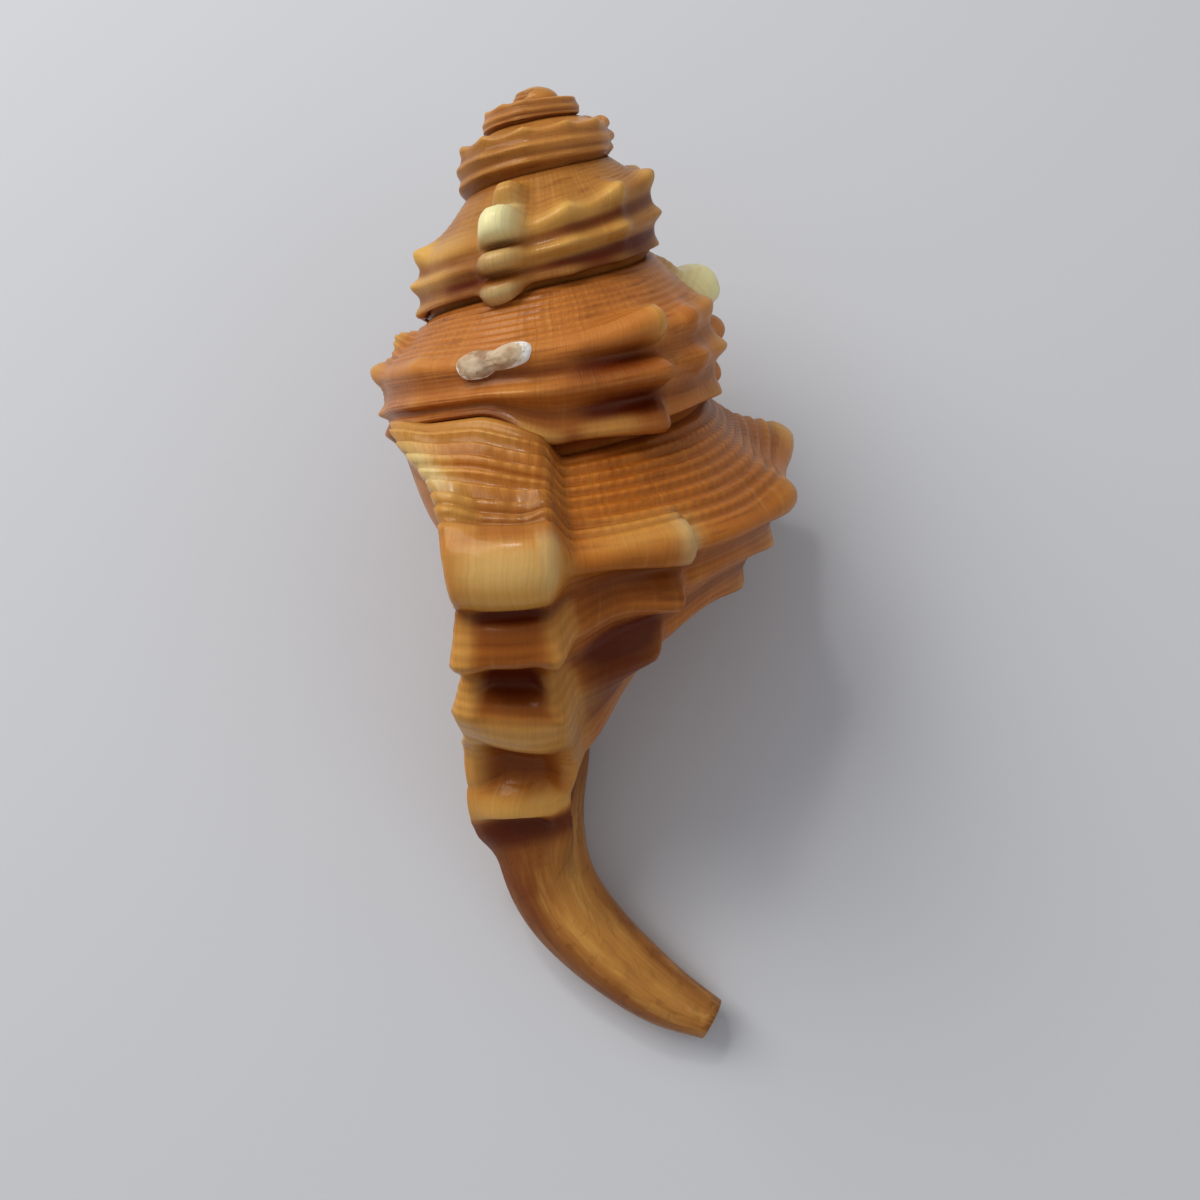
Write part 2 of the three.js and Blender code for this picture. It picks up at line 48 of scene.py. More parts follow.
camera = {
    "place": (5.664, -25.123, 114.876),
    "right": (0.99898, 0.01032, -0.04402),
    "up": (0.00006, 0.97327, 0.22965),
    "lens": 36.0,      # as wide as the film, so the view is 53 degrees across
    "film": 36.0,
    "nearest": 0.001,  # metres
}

whorls = {
    # turns of growth at which each line of the section is given, then its radius and depth
    "turns": [-5, -4, -3, -2.25, -2, -1.5, -1, -0.75, -0.5, -0.2, -0.15, -0.11, -0.06, -0.03, 0.1],
    "shoulder": ([1.3, 3.7, 5.8, 8.3, 9.3, 11.8, 14, 14.8, 17.8, 20, 20.4, 20.7, 21.3, 21.6, 21.8],
                 [0.35, 1.5, 4, 7.7, 11.2, 14.9, 20.5, 23, 26.4, 33.3, 33.9, 34.2, 34.4, 34.5, 34.8]),
    "middle": ([1.6, 4.1, 6.3, 8.9, 9.9, 12.8, 14.4, 14.4, 16.4, 18.2, 18.5, 18.8, 19.1, 19.45, 19.6],
               [0.8, 2.3, 5.2, 10.3, 13.4, 17.9, 23.7, 26.8, 30.6, 36.6, 37.1, 37.8, 38.3, 40.5, 40.8]),
    "lower": ([1.6, 4.05, 6.2, 8.9, 9.8, 12.6, 14.1, 14.2, 15.6, 15.6, 15.6, 15.7, 15.7, 15.8, 15.6],
              [1.15, 2.8, 6.3, 12.6, 15.3, 20.9, 27.2, 30.2, 34.2, 40.4, 41.2, 42.8, 45.5, 47.4, 47.8]),
    "suture": ([1.5, 3.8, 5.9, 8.5, 9.4, 12, 13.5, 13.7, 14.6, 14, 13.8, 13.7, 13.4, 13.2, 13],
               [1.3, 3, 6.9, 13.3, 15.6, 21.8, 28.3, 31.8, 36.2, 41.8, 42.8, 44.8, 50.2, 52.4, 52.8]),
    "base": ([0.5, 1.8, 3.6, 6, 6.8, 9, 10.8, 11.4, 11.8, 10.6, 10.5, 10.4, 10.3, 10.2, 10.2],
             [1.6, 4.5, 10, 16.8, 19.4, 26, 33, 36, 39.4, 45.4, 46.4, 49.6, 55.2, 56.6, 57]),
    "waist": ([0.3, 1.2, 2.6, 3.9, 4.4, 5.6, 6.6, 6.9, 7, 6.2, 6.5, 7, 7.8, 7.9, 8],
              [2, 6, 13, 21.6, 24.9, 32, 39, 42, 44.2, 48.4, 49.6, 54.6, 59, 59.5, 59.6]),
    "neck": ([0.2, 0.8, 1.6, 2.2, 2.4, 2.9, 3.3, 3.5, 3.6, 3.9, 4.3, 5.3, 5.8, 5.9, 6],
             [2.4, 8, 17, 28, 32, 39, 45, 47, 48.5, 53, 54.6, 59.6, 61.6, 61.8, 61.9]),
    "climb": 3.5,                  # the lower lines rise by this just before the last turn
    "climbFrom": (-374, -346),
    "climbTo": (-300, -240),
    "climbShares": (0.15, 0.8, 1), # of the middle, the lower line and the suture
    "firstTheta": -1860,
    "growIn": 80,                  # degrees over which the first whorl rises from the slope of
    "riseShare": 0.5,              # the next one, and the share of that slope it starts on
    "lipTheta": 12,
    # how far the lip and the inner edge slide along the growth angle, at each whole band
    "lipSlides": [42, 9, -3, -2, -1.4, 2, 3.6, 8.6, 16.5, 20.5, 27, 36, 38, 38, 38, 38],
    "innerSlides": [0, 0, 0, 2, 6, 14, 24, 32, 24, 18, 30, 46, 58, 62, 62, 62],
    "slideFade": 110,
}

cap = {
    "radius": 1.75,
    "height": 1.15,
    "depth": 1.2,
    "rows": 24,
    "columns": 48,
    "straw": 0.15,        # share of straw in its colour
}

canal = {
    "end": 85,
    "lastBand": 15,
    # its rings: shares of the way from the neck to the end, and their radii
    "steps": [0.2, 0.42, 0.62, 0.8, 1],
    "radii": [4.9, 4.3, 3.7, 3.2, 2.1],
    "neckHold": 0.8,      # how much the neck's radius limits the first rings
    # the axis bends in the canal: depth, then where its middle line is along, left and in front
    "bendDepths": [38, 44, 50, 56, 62, 68, 74, 80, 85],
    "bendAlong": [38, 44, 50, 56, 62, 67.6, 72.4, 76.4, 79],
    "bendLeft": [0, 0, 0.4, 1.4, 2.2, 1.0, -2.8, -8.0, -12.9],
    "bendFront": [0, 0, 0.35, 1.2, 3.6, 6.2, 8.2, 9.8, 10.8],
    "slitTheta": 62,
    "slitDepth": 0.62,    # share of the canal's radius that the slit reaches in
    # the end is a tube's: shares of the way in to its middle, and how deep each is sunk
    "endShares": [0, 0.03, 0.12, 0.24, 0.34, 0.4, 0.44, 0.48, 0.6, 1],
    "endSunk": [0, 0, 0.03, 0.08, 0.25, 0.6, 1.2, 2.2, 3.0, 3.2],
    "endPaintedShade": (0.3, 0.5),  # shares between which the hollow turns dark: painted shade inside the tube
}

pose = {
    "slope": 28.1,        # degrees the axis dips from the tip to the canal
    "yaw": 0.8,
    "zeroFace": 6,        # degrees from straight up at which theta is 0
    "lean": 0.7,          # the tip leans left by this, fading out at a depth of leanEnd
    "leanEnd": 24,
    "tip": (-3.194, 37.763, 29.978),
}

relief = {
    # the three smooth cords; their heights and the sink between are shares of the shoulder's radius
    "cordBands": (2, 4, 6),
    "cordWidths": (0.45, 0.5, 0.55),
    "cordShares": (0.012, 0.03, 0.03),
    "sink": 0.012,
    "calm": 0.85,         # share by which the first whorls' cords and threads are lower
    "calmFrom": (-1068, -1110),
    "oldCalm": 0.8,       # share by which the threads of all but the last whorl are lower
    "oldFrom": (-200, -500),
    # old lips: growth angle, strength, then how far their beads stand out on the slope and on
    # each cord, as shares of the shoulder's radius
    "varices": [(-233, 1, 0.03, 0.06, 0.07, 0.07), (-477, 1, 0.02, 0.13, 0.05, 0.04),
                (-709, 0.75, 0.15, 0.21, 0.1, 0.07), (-950, 0.9, 0.02, 0.08, 0.05, 0.04),
                (-1190, 0.7, 0.02, 0.06, 0.03, 0.02), (-1430, 0.4, 0, 0, 0, 0)],
    "varixHalf": 10.5,    # degrees
    "varixEdge": 0.25,    # share of that over which its edges rise
    "beadHalf": 0.75,     # share of an old lip's half width that its beads take
    "varixHeights": [0, 0.04, 0.08, 0.05, 0.09, 0.05, 0.09, 0.08, 0.12, 0.12, 0.05, 0],
    "beadBands": (0.85, 2.05, 4.0, 6.0),
    "beadWidths": (0.33, 0.62, 0.66, 0.6),
    # knobs: growth angle, then their height on each cord as a share of the shoulder's radius
    "knobs": [
        (-78, 0.04, 0.05, 0.05), (-114, 0.13, 0.06, 0.04), (-143, 0.12, 0.05, 0.04),
        (-172, 0.12, 0.05, 0.03), (-206, 0.14, 0.06, 0.09), (-281, 0.08, 0.05, 0.03),
        (-322, 0.03, 0.02, 0.02), (-362, 0.015, 0.02, 0.02), (-442, 0.07, 0.07, 0.06),
        (-520, 0.08, 0.05, 0.04), (-560, 0.08, 0.05, 0.04), (-604, 0.12, 0.12, 0.09),
        (-650, 0.12, 0.06, 0.05), (-740, 0.1, 0.05, 0.04), (-768, 0.16, 0.08, 0.03),
        (-804, 0.13, 0.08, 0.04), (-840, 0.1, 0.06, 0.04), (-880, 0.1, 0.05, 0.03),
        (-915, 0.1, 0.05, 0.03),
    ],
    # rows of small knobs: first growth angle, limit and step, then their heights
    "smallKnobs": [((-976, -1165, -34), (0.07, 0.02, 0.02)),
                   ((-1225, -1420, -36), (0.04, 0.01, 0.01))],
    "newSide": 9.0,       # degrees: a knob rises more slowly on its newer side
    "oldSide": 5.0,
    "peakWidth": 0.5,
    "sharpness": 1.5,     # power of the knobs' fall: 2 is round, 1 a point
    "valleyBands": (3, 5),
    "valleyWidth": 0.5,
    "valleyShare": 0.25,  # share of a knob's height that runs on between the cords
    # ribs: like knobs that run on from cord to cord, with a sharp drop on their older side
    "ribs": [(-37, 0.09, 0.1, 0.06), (-405, 0.17, 0.14, 0.13)],
    "ribWidths": (0.55, 0.7, 0.7),
    "ribNewSide": 17.0,
    "ribPower": 1.6,
    "ribDrop": 2.5,
    "ribFlat": 0.55,      # share of a rib's height that is flat on top
    # single bumps: growth angle, band, half width in degrees, half height in bands, millimetres
    "warts": [(-282, 0.9, 6, 0.4, 1.4), (-366, 6.1, 7, 0.6, 0.6), (-360, 3.9, 14, 0.35, 0.4),
              (-112, 1.65, 13, 0.8, 1.1), (-78, 1.7, 11, 0.8, 0.7), (-424, 2.1, 5, 0.5, 0.8),
              (-424, 4.0, 5, 0.6, 0.7)],
    "slopeCords": 0.2,    # bands from one thread of the shoulder slope to the next
    "slopeStart": 0.33,   # band of the first thread
    "slopeFrom": (0.1, 0.3),
    "slopeTo": (1.6, 1.8),
    "slopeHeight": 0.17,
    "slopeNew": 1.6,      # the threads are higher by this share on the newest lip
    "slopeNewFrom": (-12, -7),
    "fineBands": (2.75, 3.0, 3.25, 4.75, 5.0, 5.25, 6.75, 7.0),
    "fineWidth": 0.07,
    "fineHeight": 0.1,
    "fineRadius": 20,     # the threads' heights are for this radius of the shoulder
    "tuck": 0.35,         # the upper edge of a whorl goes this far under the one above
    "tuckBands": 0.12,
    "tuckRadius": 10,     # a shoulder with a smaller radius than this has less tuck
}

newVarix = {
    # the newest lip's ridge, at each whole band: the growth angle of its older edge, the height
    # of its two margins and the height of its middle, on which the beads stand
    "olderEdge": [-9, -10.5, -11, -9.8, -11.8, -9, -12.8, -16.3, -20.6, -28.5, -38.4, -50],
    "margins": [1.3, 1.7, 2.0, 1.2, 2.2, 1.2, 2.7, 1.9, 1.6, 2.1, 1.6, 0.2],
    "middle": [1.2, 1.7, 1.5, 0.9, 0.8, 0.2, 0.4, 0.3, 0.1, 0.6, 0.9, 0.2],
    # beads: band, half width in bands, height
    "beads": [(2.22, 0.6, 1.5), (3.7, 0.6, 1.5), (6.3, 0.95, 2.6), (9.4, 0.55, 1.9)],
    "marginShare": (0.08, 0.34),
    "marginLeast": 0.9,   # the margins are at least this share of the middle
    "pillow": 0.7,        # the margins swell by this at each cord
    "pillowStart": 0.9,
    "pillowPower": 0.6,
    "fade": (10.3, 10.9),
    "edgeRise": (-2.0, 2.6),
    "overlap": 0.8,       # the ridge starts this far inside the whorl above
    "overlapFrom": (-14, -4),
    "overlapBands": 0.08,
    "skew": 0.02,         # bands that the lowest bead drops for each degree on the older side
    "skewBands": (8, 9.5),
}

paint = {
    # soft spots: growth angle, band, half width in degrees, half height in bands, strength
    "spots": {
        "cream": [(-709, 2.0, 9, 0.75, 1.0), (-37, 2.0, 4, 0.4, 0.3), (-709, 6.2, 8, 0.5, 0.45),
                  (-475, 2.0, 13, 1.0, 1.0), (-710, 4.0, 8, 0.7, 0.3), (-481, 4.0, 7, 0.8, 0.5)],
        "straw": [(-282, 0.9, 5, 0.35, 0.7), (-366, 6.1, 7, 0.5, 0.5), (-30, 1.7, 14, 0.35, 0.45),
                  (-35, 13.2, 32, 2.2, 0.3), (-735, 2.2, 30, 0.5, 0.55), (-735, 4.2, 26, 0.7, 0.4),
                  (-665, 2.0, 24, 0.6, 0.6), (-660, 4.0, 24, 0.6, 0.6), (-709, 0.85, 9, 0.5, 0.55),
                  (-405, 2.0, 5, 0.6, 0.6), (-386, 6.0, 9, 0.5, 0.5), (-470, 1.0, 12, 0.9, 0.5)],
        "rust": [(-27, 3.2, 12, 0.8, 0.3), (-26, 5.6, 11, 1.2, 0.85), (-388, 3.2, 14, 0.9, 0.6),
                 (-392, 5.0, 14, 1.0, 0.7), (-358, 6.2, 26, 0.7, 0.7), (-372, 2.95, 26, 0.3, 0.35),
                 (-830, 4.5, 26, 2.2, 0.6), (-770, 3.1, 44, 0.45, 0.45), (-765, 5.6, 40, 0.9, 0.8),
                 (38, 12.2, 36, 2.4, 0.5), (-690, 5.0, 14, 1.6, 0.5)],
    },
    # on the newest lip: share across it from its older edge, band, half widths, strength
    "lipMarks": {
        "cream": [(0.12, 2.05, 0.1, 0.25, 0.3), (0.93, 0.9, 0.1, 0.35, 0.5), (0.5, 2.1, 0.4, 0.15, 0.2)],
        "straw": [(0.88, 0.9, 0.22, 0.95, 0.75), (0.6, 0.25, 0.5, 0.3, 0.5), (0.5, 2.3, 0.54, 0.42, 0.75),
                  (0.45, 1.0, 0.5, 0.9, 0.25), (0.04, 3.7, 0.14, 0.6, 0.5), (0.97, 3.7, 0.14, 0.7, 0.6),
                  (0.5, 6.4, 0.62, 0.5, 0.65), (0.97, 6.4, 0.16, 1.6, 0.7), (0.03, 6.0, 0.14, 1.3, 0.5),
                  (0.5, 9.4, 0.65, 0.42, 0.8), (0.02, 8.0, 0.14, 1.3, 0.4), (0.96, 8.0, 0.14, 1.3, 0.5)],
        "rust": [(0.45, 1.5, 0.45, 0.3, 0.35), (0.5, 4.3, 0.4, 0.25, 0.35), (0.5, 3.05, 0.6, 0.12, 0.7),
                 (0.5, 3.7, 0.38, 0.5, 0.3), (0.52, 5.0, 0.36, 0.8, 0.65), (0.53, 8.0, 0.36, 0.95, 0.75),
                 (0.5, 10.35, 0.7, 0.35, 1.0)],
    },
    # straw on the knobs' crests: half width in degrees, and how much wider before crestOld
    "crestWide": 6.0,
    "crestOld": -360,
    "crestOldWider": 1.2,
    "crestTall": 0.4,
    "crestAbove": 0.1,    # bands that the straw lies above the crest
    "crestFull": 0.1,     # a knob of this height has all of crestShare
    "crestShare": 0.7,
    # bands, half width and strength of the darker grooves
    "grooves": [(3.1, 0.45, 0.4), (5.1, 0.4, 0.5), (6.9, 0.35, 0.5), (0.05, 0.25, 0.5)],
}

mouth = {
    "wall": 1.3,
    "topWall": 0.6,       # share of the wall's thickness at the suture
    "rimColumns": 6,
    "innerColumns": 26,
    "innerPower": 1.5,    # the columns lie closer near the lip
    "rimSwell": 0.35,
    "reach": 175,         # degrees that the passage goes back from the lip
    "canalBands": (9.3, 10.6),
    "slitWall": 0.7,
    "slitPower": 2.5,
    # teeth inside the lip: bands, half width in bands and height, then how far in from the lip
    # they and their pale patches are, with half widths, in millimetres
    "toothBands": [1.6, 2.4, 3.2, 4.0, 4.8, 5.7, 6.6, 7.5, 8.3],
    "toothWidth": 0.22,
    "toothHeight": 0.75,
    "toothSpot": (2.6, 1.9),
    "palePatch": (2.2, 1.8),
    # folds on the inner lip
    "foldBands": [8.3, 8.7, 9.1, 9.5, 9.9, 10.3, 10.8, 11.3],
    "foldWidth": 0.11,
    "foldHeight": 0.22,
    "foldStart": 0.03,
    "foldPale": 0.8,
    "innerPaint": (-0.4, 0.1),  # steps round the rim between which the outer colours end
}


def smoothStep(low, high, x):
    # 0 below low, 1 above high, and an S of the cubic 3t^2 - 2t^3 between
    t = np.clip((x - low) / (high - low), 0, 1)
    return t * t * (3 - 2 * t)


def mix(a, b, t):
    # a where t is 0, b where it is 1, and straight between
    return a + (b - a) * t


def curveThrough(stations, values, x):
    # cubic through the values, its slope at each the mean of its neighbours' weighted by nearness,
    # and straight on beyond both ends
    stations, values, x = (np.asarray(a, float) for a in (stations, values, x))
    widths = np.diff(stations)
    secants = np.diff(values) / widths
    slopes = np.concatenate([secants[:1], (secants[:-1] * widths[1:] + secants[1:] * widths[:-1])
                             / (widths[1:] + widths[:-1]), secants[-1:]])
    i = np.clip(np.searchsorted(stations, x, side="right") - 1, 0, len(widths) - 1)
    w = widths[i]
    t = (x - stations[i]) / w
    u = np.clip(t, 0, 1)
    a, b, p, q = values[i], values[i + 1], slopes[i] * w, slopes[i + 1] * w
    inside = a + u * (p + u * (3 * (b - a) - 2 * p - q + u * (2 * (a - b) + p + q)))
    return inside + np.minimum(t, 0) * slopes[0] * w + np.maximum(t - 1, 0) * slopes[-1] * w


def curveAt(values, position):
    # the curve through values that stand at 0, 1, 2, ...
    return curveThrough(np.arange(len(values)), values, position)


def lineAt(name, theta):
    # a line of the section grows by a power of the turn: curves through the logs of its values
    radius, depth = whorls[name]
    turn = theta / 360
    return (np.exp(curveThrough(whorls["turns"], np.log(radius), turn)),
            np.exp(curveThrough(whorls["turns"], np.log(depth), turn)))


def climbAt(theta):
    # an S up and then an S down again, times the height of the climb
    rise = smoothStep(*whorls["climbFrom"], theta)
    return whorls["climb"] * rise * (1 - smoothStep(*whorls["climbTo"], theta))


def sectionAt(theta):
    # the section's points at theta: the named lines, the points half way between the upper
    # ones, and the canal's rings
    lifted = climbAt(theta)
    lines = {}
    for name, share in zip(("middle", "lower", "suture"), whorls["climbShares"]):
        radius, depth = lineAt(name, theta)
        lines[name] = (radius, depth - share * lifted)
    above = lineAt("suture", theta - 360)
    above = (above[0], above[1] - climbAt(theta - 360))
    shoulder = lineAt("shoulder", theta)
    neck = lineAt("neck", theta)
    points = [above, shoulder, lines["middle"], lines["lower"]]
    halfway = [((a[0] + b[0]) / 2, (a[1] + b[1]) / 2) for a, b in zip(points[:-1], points[1:])]
    section = [points[0], halfway[0], points[1], halfway[1], points[2], halfway[2], points[3],
               lines["suture"], lineAt("base", theta), lineAt("waist", theta), neck]
    for share, radius in zip(canal["steps"], canal["radii"]):
        hold = canal["neckHold"] * (1 - share)
        section.append((mix(radius, np.minimum(radius, neck[0]), hold), mix(neck[1], canal["end"], share)))
    return [np.stack([p[k] + 0 * theta for p in section]) for k in (0, 1)]


def alongSection(points, band):
    # a Catmull-Rom curve through the section's points, read at the band
    last = len(points) - 1
    i = np.clip(np.floor(band).astype(int), 0, last - 1)
    t = band - i

    def take(k):
        return np.take_along_axis(points, np.clip(k, 0, last)[None], 0)[0]

    a, b = take(i), take(i + 1)
    p = np.where(i == 0, b - a, (b - take(i - 1)) / 2)
    q = np.where(i + 1 == last, b - a, (take(i + 2) - a) / 2)
    return a + t * (p + t * (3 * (b - a) - 2 * p - q + t * (2 * (a - b) + p + q)))


def growthAngle(theta, band):
    # theta plus the slides that lean the lip and the inner edge, each fading away from its edge
    lip = curveAt(whorls["lipSlides"], band)
    lip = lip * smoothStep(whorls["lipTheta"] - whorls["slideFade"], whorls["lipTheta"], theta)
    away = np.abs(theta + 360 - whorls["lipTheta"])
    inner = curveAt(whorls["innerSlides"], band) * (1 - smoothStep(0, whorls["slideFade"], away))
    return theta + lip + inner


def bareSurface(angle, band):
    # radius and depth of the smooth whorl: the section's curve read at the band
    radii, depths = sectionAt(angle)
    return alongSection(radii, band), alongSection(depths, band)


def outwardAt(angle, band, step=0.06):
    # unit normal of the section in radius and depth: the step across it, turned a quarter
    r0, d0 = bareSurface(angle, np.clip(band - step, 0, canal["lastBand"]))
    r1, d1 = bareSurface(angle, np.clip(band + step, 0, canal["lastBand"]))
    length = np.hypot(r1 - r0, d1 - d0) + 1e-9
    return (d1 - d0) / length, -(r1 - r0) / length


slope, yaw = math.radians(pose["slope"]), math.radians(pose["yaw"])
axisAlong = np.array([math.sin(yaw) * math.cos(slope), -math.cos(yaw) * math.cos(slope), -math.sin(slope)])
axisFront = np.array([0, 0, 1]) - axisAlong * axisAlong[2]
axisFront /= np.linalg.norm(axisFront)
axisLeft = np.cross(axisAlong, axisFront)


def middleLine(depth):
    # the axis: straight down to the canal, then through the bend's points
    stations = canal["bendDepths"]
    position = np.interp(depth, stations, np.arange(len(stations)))
    position = position + np.maximum(depth - stations[-1], 0) / (stations[-1] - stations[-2])
    bent = np.stack([curveAt(canal[k], position) for k in ("bendAlong", "bendLeft", "bendFront")], -1)
    lean = pose["lean"] * np.clip(1 - depth / pose["leanEnd"], 0, 1) ** 2
    straight = np.stack([depth, lean, 0 * depth], -1)
    return np.where((depth <= stations[0])[..., None], straight, bent)


def place(radius, theta, depth):
    # a point at radius and angle round the middle line, in the plane square to it
    face = np.radians(theta + pose["zeroFace"])
    middle = middleLine(depth)
    tangent = middleLine(depth + 0.5) - middleLine(depth - 0.5)
    tangent /= np.linalg.norm(tangent, axis=-1, keepdims=True)
    up = np.array([0, 0, 1]) - tangent * tangent[..., 2:3]
    up /= np.linalg.norm(up, axis=-1, keepdims=True)
    side = np.cross(up, tangent)
    local = middle + up * (radius * np.cos(face))[..., None] + side * (radius * np.sin(face))[..., None]
    spot = local[..., 0:1] * axisAlong + local[..., 1:2] * axisLeft + local[..., 2:3] * axisFront
    return spot + np.array(pose["tip"])


def bump(x, centre, width):
    # the bell exp(-t^2) of the distance from the centre in widths
    return np.exp(-(((x - centre) / width) ** 2))


def flatBump(x, centre, width):
    # the flat-topped bell exp(-t^4)
    return np.exp(-(((x - centre) / width) ** 4))


def tableAt(values, band):
    # straight lines through values that stand at 0, 1, 2, ...
    return np.interp(band, np.arange(len(values)), values)


def roundBump(x, middle, half):
    # half a circle's arch, 1 in the middle and 0 from half on
    return np.sqrt(np.clip(1 - ((x - middle) / half) ** 2, 0, 1))


def olderEdgeAt(band):
    # growth angle of the newest ridge's older edge, by straight lines
    return tableAt(newVarix["olderEdge"], band)


def newerEdgeAt(band):
    # growth angle of the lip: its theta plus its slide
    return whorls["lipTheta"] + curveAt(whorls["lipSlides"], band)


def newVarixHeight(angle, band):
    # the newest lip: two margins and a lower middle with four beads, rising from its older edge
    drop = newVarix["skew"] * np.maximum(-angle, 0) * smoothStep(*newVarix["skewBands"], band)
    band = band - drop
    older, newer = olderEdgeAt(band), newerEdgeAt(band)
    middle = tableAt(newVarix["middle"], band)
    for centre, half, tall in newVarix["beads"]:
        middle = middle + tall * roundBump(band, centre, half)
    share = (angle - older) / (newer - older)
    inner, outer = newVarix["marginShare"]
    inMiddle = smoothStep(inner, outer, share) * smoothStep(inner, outer, 1 - share)
    arch = np.abs(np.sin(np.pi * (band - newVarix["pillowStart"]) / 2))
    pillow = newVarix["pillow"] * arch ** newVarix["pillowPower"]
    margin = np.maximum(tableAt(newVarix["margins"], band) + pillow, middle * newVarix["marginLeast"])
    height = mix(margin, middle, inMiddle)
    rise = smoothStep(*newVarix["edgeRise"], angle - older)
    return height * rise * (1 - smoothStep(*newVarix["fade"], band))


def knobTable():
    # the large knobs and then the small ones, which stand at even steps
    knobs = list(relief["knobs"])
    for (start, end, step), shares in relief["smallKnobs"]:
        knobs += [(a, *shares) for a in range(start, end, step)]
    return knobs


def knobHeights(angle, band):
    # knobs: a fall of the chosen sharpness both ways, steeper on the older side, with a share
    # of it between the cords
    height = 0
    valleys = [bump(band, c, relief["valleyWidth"]) for c in relief["valleyBands"]]
    peaks = [np.exp(-(np.abs(band - c) / relief["peakWidth"]) ** relief["sharpness"])
             for c in relief["cordBands"]]
    for knob in knobTable():
        off = angle - knob[0]
        side = np.where(off > 0, relief["newSide"], relief["oldSide"])
        wide = np.exp(-(np.abs(off / side) ** relief["sharpness"]))
        height = height + wide * sum(s * c for s, c in zip(knob[1:], peaks))
        low = sum(s * c for s, c in zip(knob[1:3], valleys))
        height = height + wide * relief["valleyShare"] * low
    return height


def ribHeights(angle, band, cords):
    # ribs: a sharp drop on the older side and a slow fall on the newer one
    height = 0
    flats = [flatBump(band, c, w) for c, w in zip(relief["cordBands"], relief["ribWidths"])]
    for middle, *shares in relief["ribs"]:
        off = angle - middle
        wide = smoothStep(-relief["ribDrop"], relief["ribDrop"] / 2, off)
        wide = wide * np.exp(-np.abs(np.maximum(off, 0) / relief["ribNewSide"]) ** relief["ribPower"])
        height = height + wide * sum(s * mix(c, b, relief["ribFlat"])
                                     for s, b, c in zip(shares, flats, cords))
    return height


def varixHeights(angle, band):
    # old lips: the highest of their flat-topped ridges, plus the beads that stand on them
    ridge, height = 0 * angle, 0
    edge = relief["varixEdge"]
    beads = [flatBump(band, c, w) for c, w in zip(relief["beadBands"], relief["beadWidths"])]
    for middle, strength, *shares in relief["varices"]:
        across = (angle - middle) / relief["varixHalf"]
        flat = smoothStep(-1 - edge, -1 + edge, across) * (1 - smoothStep(1 - edge, 1 + edge, across))
        ridge = np.maximum(ridge, strength * flat)
        height = height + sum(s * b for s, b in zip(shares, beads)) * flatBump(across, 0, relief["beadHalf"])
    return height + ridge * tableAt(relief["varixHeights"], band)


def threadHeights(angle, band, calm):
    # threads: a cosine of the band on the shoulder slope, and single bells below it
    mask = smoothStep(*relief["slopeFrom"], band) * (1 - smoothStep(*relief["slopeTo"], band))
    older = 1 - relief["oldCalm"] * smoothStep(*relief["oldFrom"], angle)
    tall = relief["slopeHeight"] * (1 + relief["slopeNew"] * smoothStep(*relief["slopeNewFrom"], angle))
    turned = 2 * np.pi * (band - relief["slopeStart"]) / relief["slopeCords"]
    fine = tall * calm * older * np.cos(turned) * mask
    for centre in relief["fineBands"]:
        fine = fine + relief["fineHeight"] * older * bump(band, centre, relief["fineWidth"])
    return fine


def reliefAt(angle, band):
    # millimetres that cords, knobs, ribs, old lips, threads and warts stand up from the smooth
    # whorl, less what is tucked under the whorl above
    size = lineAt("shoulder", angle)[0]
    cords = [bump(band, c, w) for c, w in zip(relief["cordBands"], relief["cordWidths"])]
    calm = 1 - relief["calm"] * smoothStep(*relief["calmFrom"], angle)
    height = (sum(s * c for s, c in zip(relief["cordShares"], cords)) - relief["sink"]) * calm
    height = height + knobHeights(angle, band) + ribHeights(angle, band, cords) + varixHeights(angle, band)
    warts = sum(tall * bump(angle, middle, wide) * bump(band, centre, high)
                for middle, centre, wide, high, tall in relief["warts"])
    fine = threadHeights(angle, band, calm)
    tuck = relief["tuck"] * (1 - smoothStep(0, relief["tuckBands"], band))
    tuck = tuck * np.minimum(size / relief["tuckRadius"], 1)
    onNewest = smoothStep(*newVarix["overlapFrom"], angle)
    tuck = tuck + newVarix["overlap"] * onNewest * (1 - smoothStep(0, newVarix["overlapBands"], band))
    return height * size + fine * size / relief["fineRadius"] + warts + newVarixHeight(angle, band) - tuck


def raised(angle, band, height):
    # the point that stands height off the smooth whorl, along its section's normal
    radius, depth = bareSurface(angle, band)
    outR, outD = outwardAt(angle, band)
    return place(np.maximum(radius + outR * height, 0), angle, depth + outD * height)


def rested(points):
    # the places the shell lies on are worn flat: what is below height 0 is raised to it
    return np.concatenate([points[..., :2], np.maximum(points[..., 2:], 0)], -1)


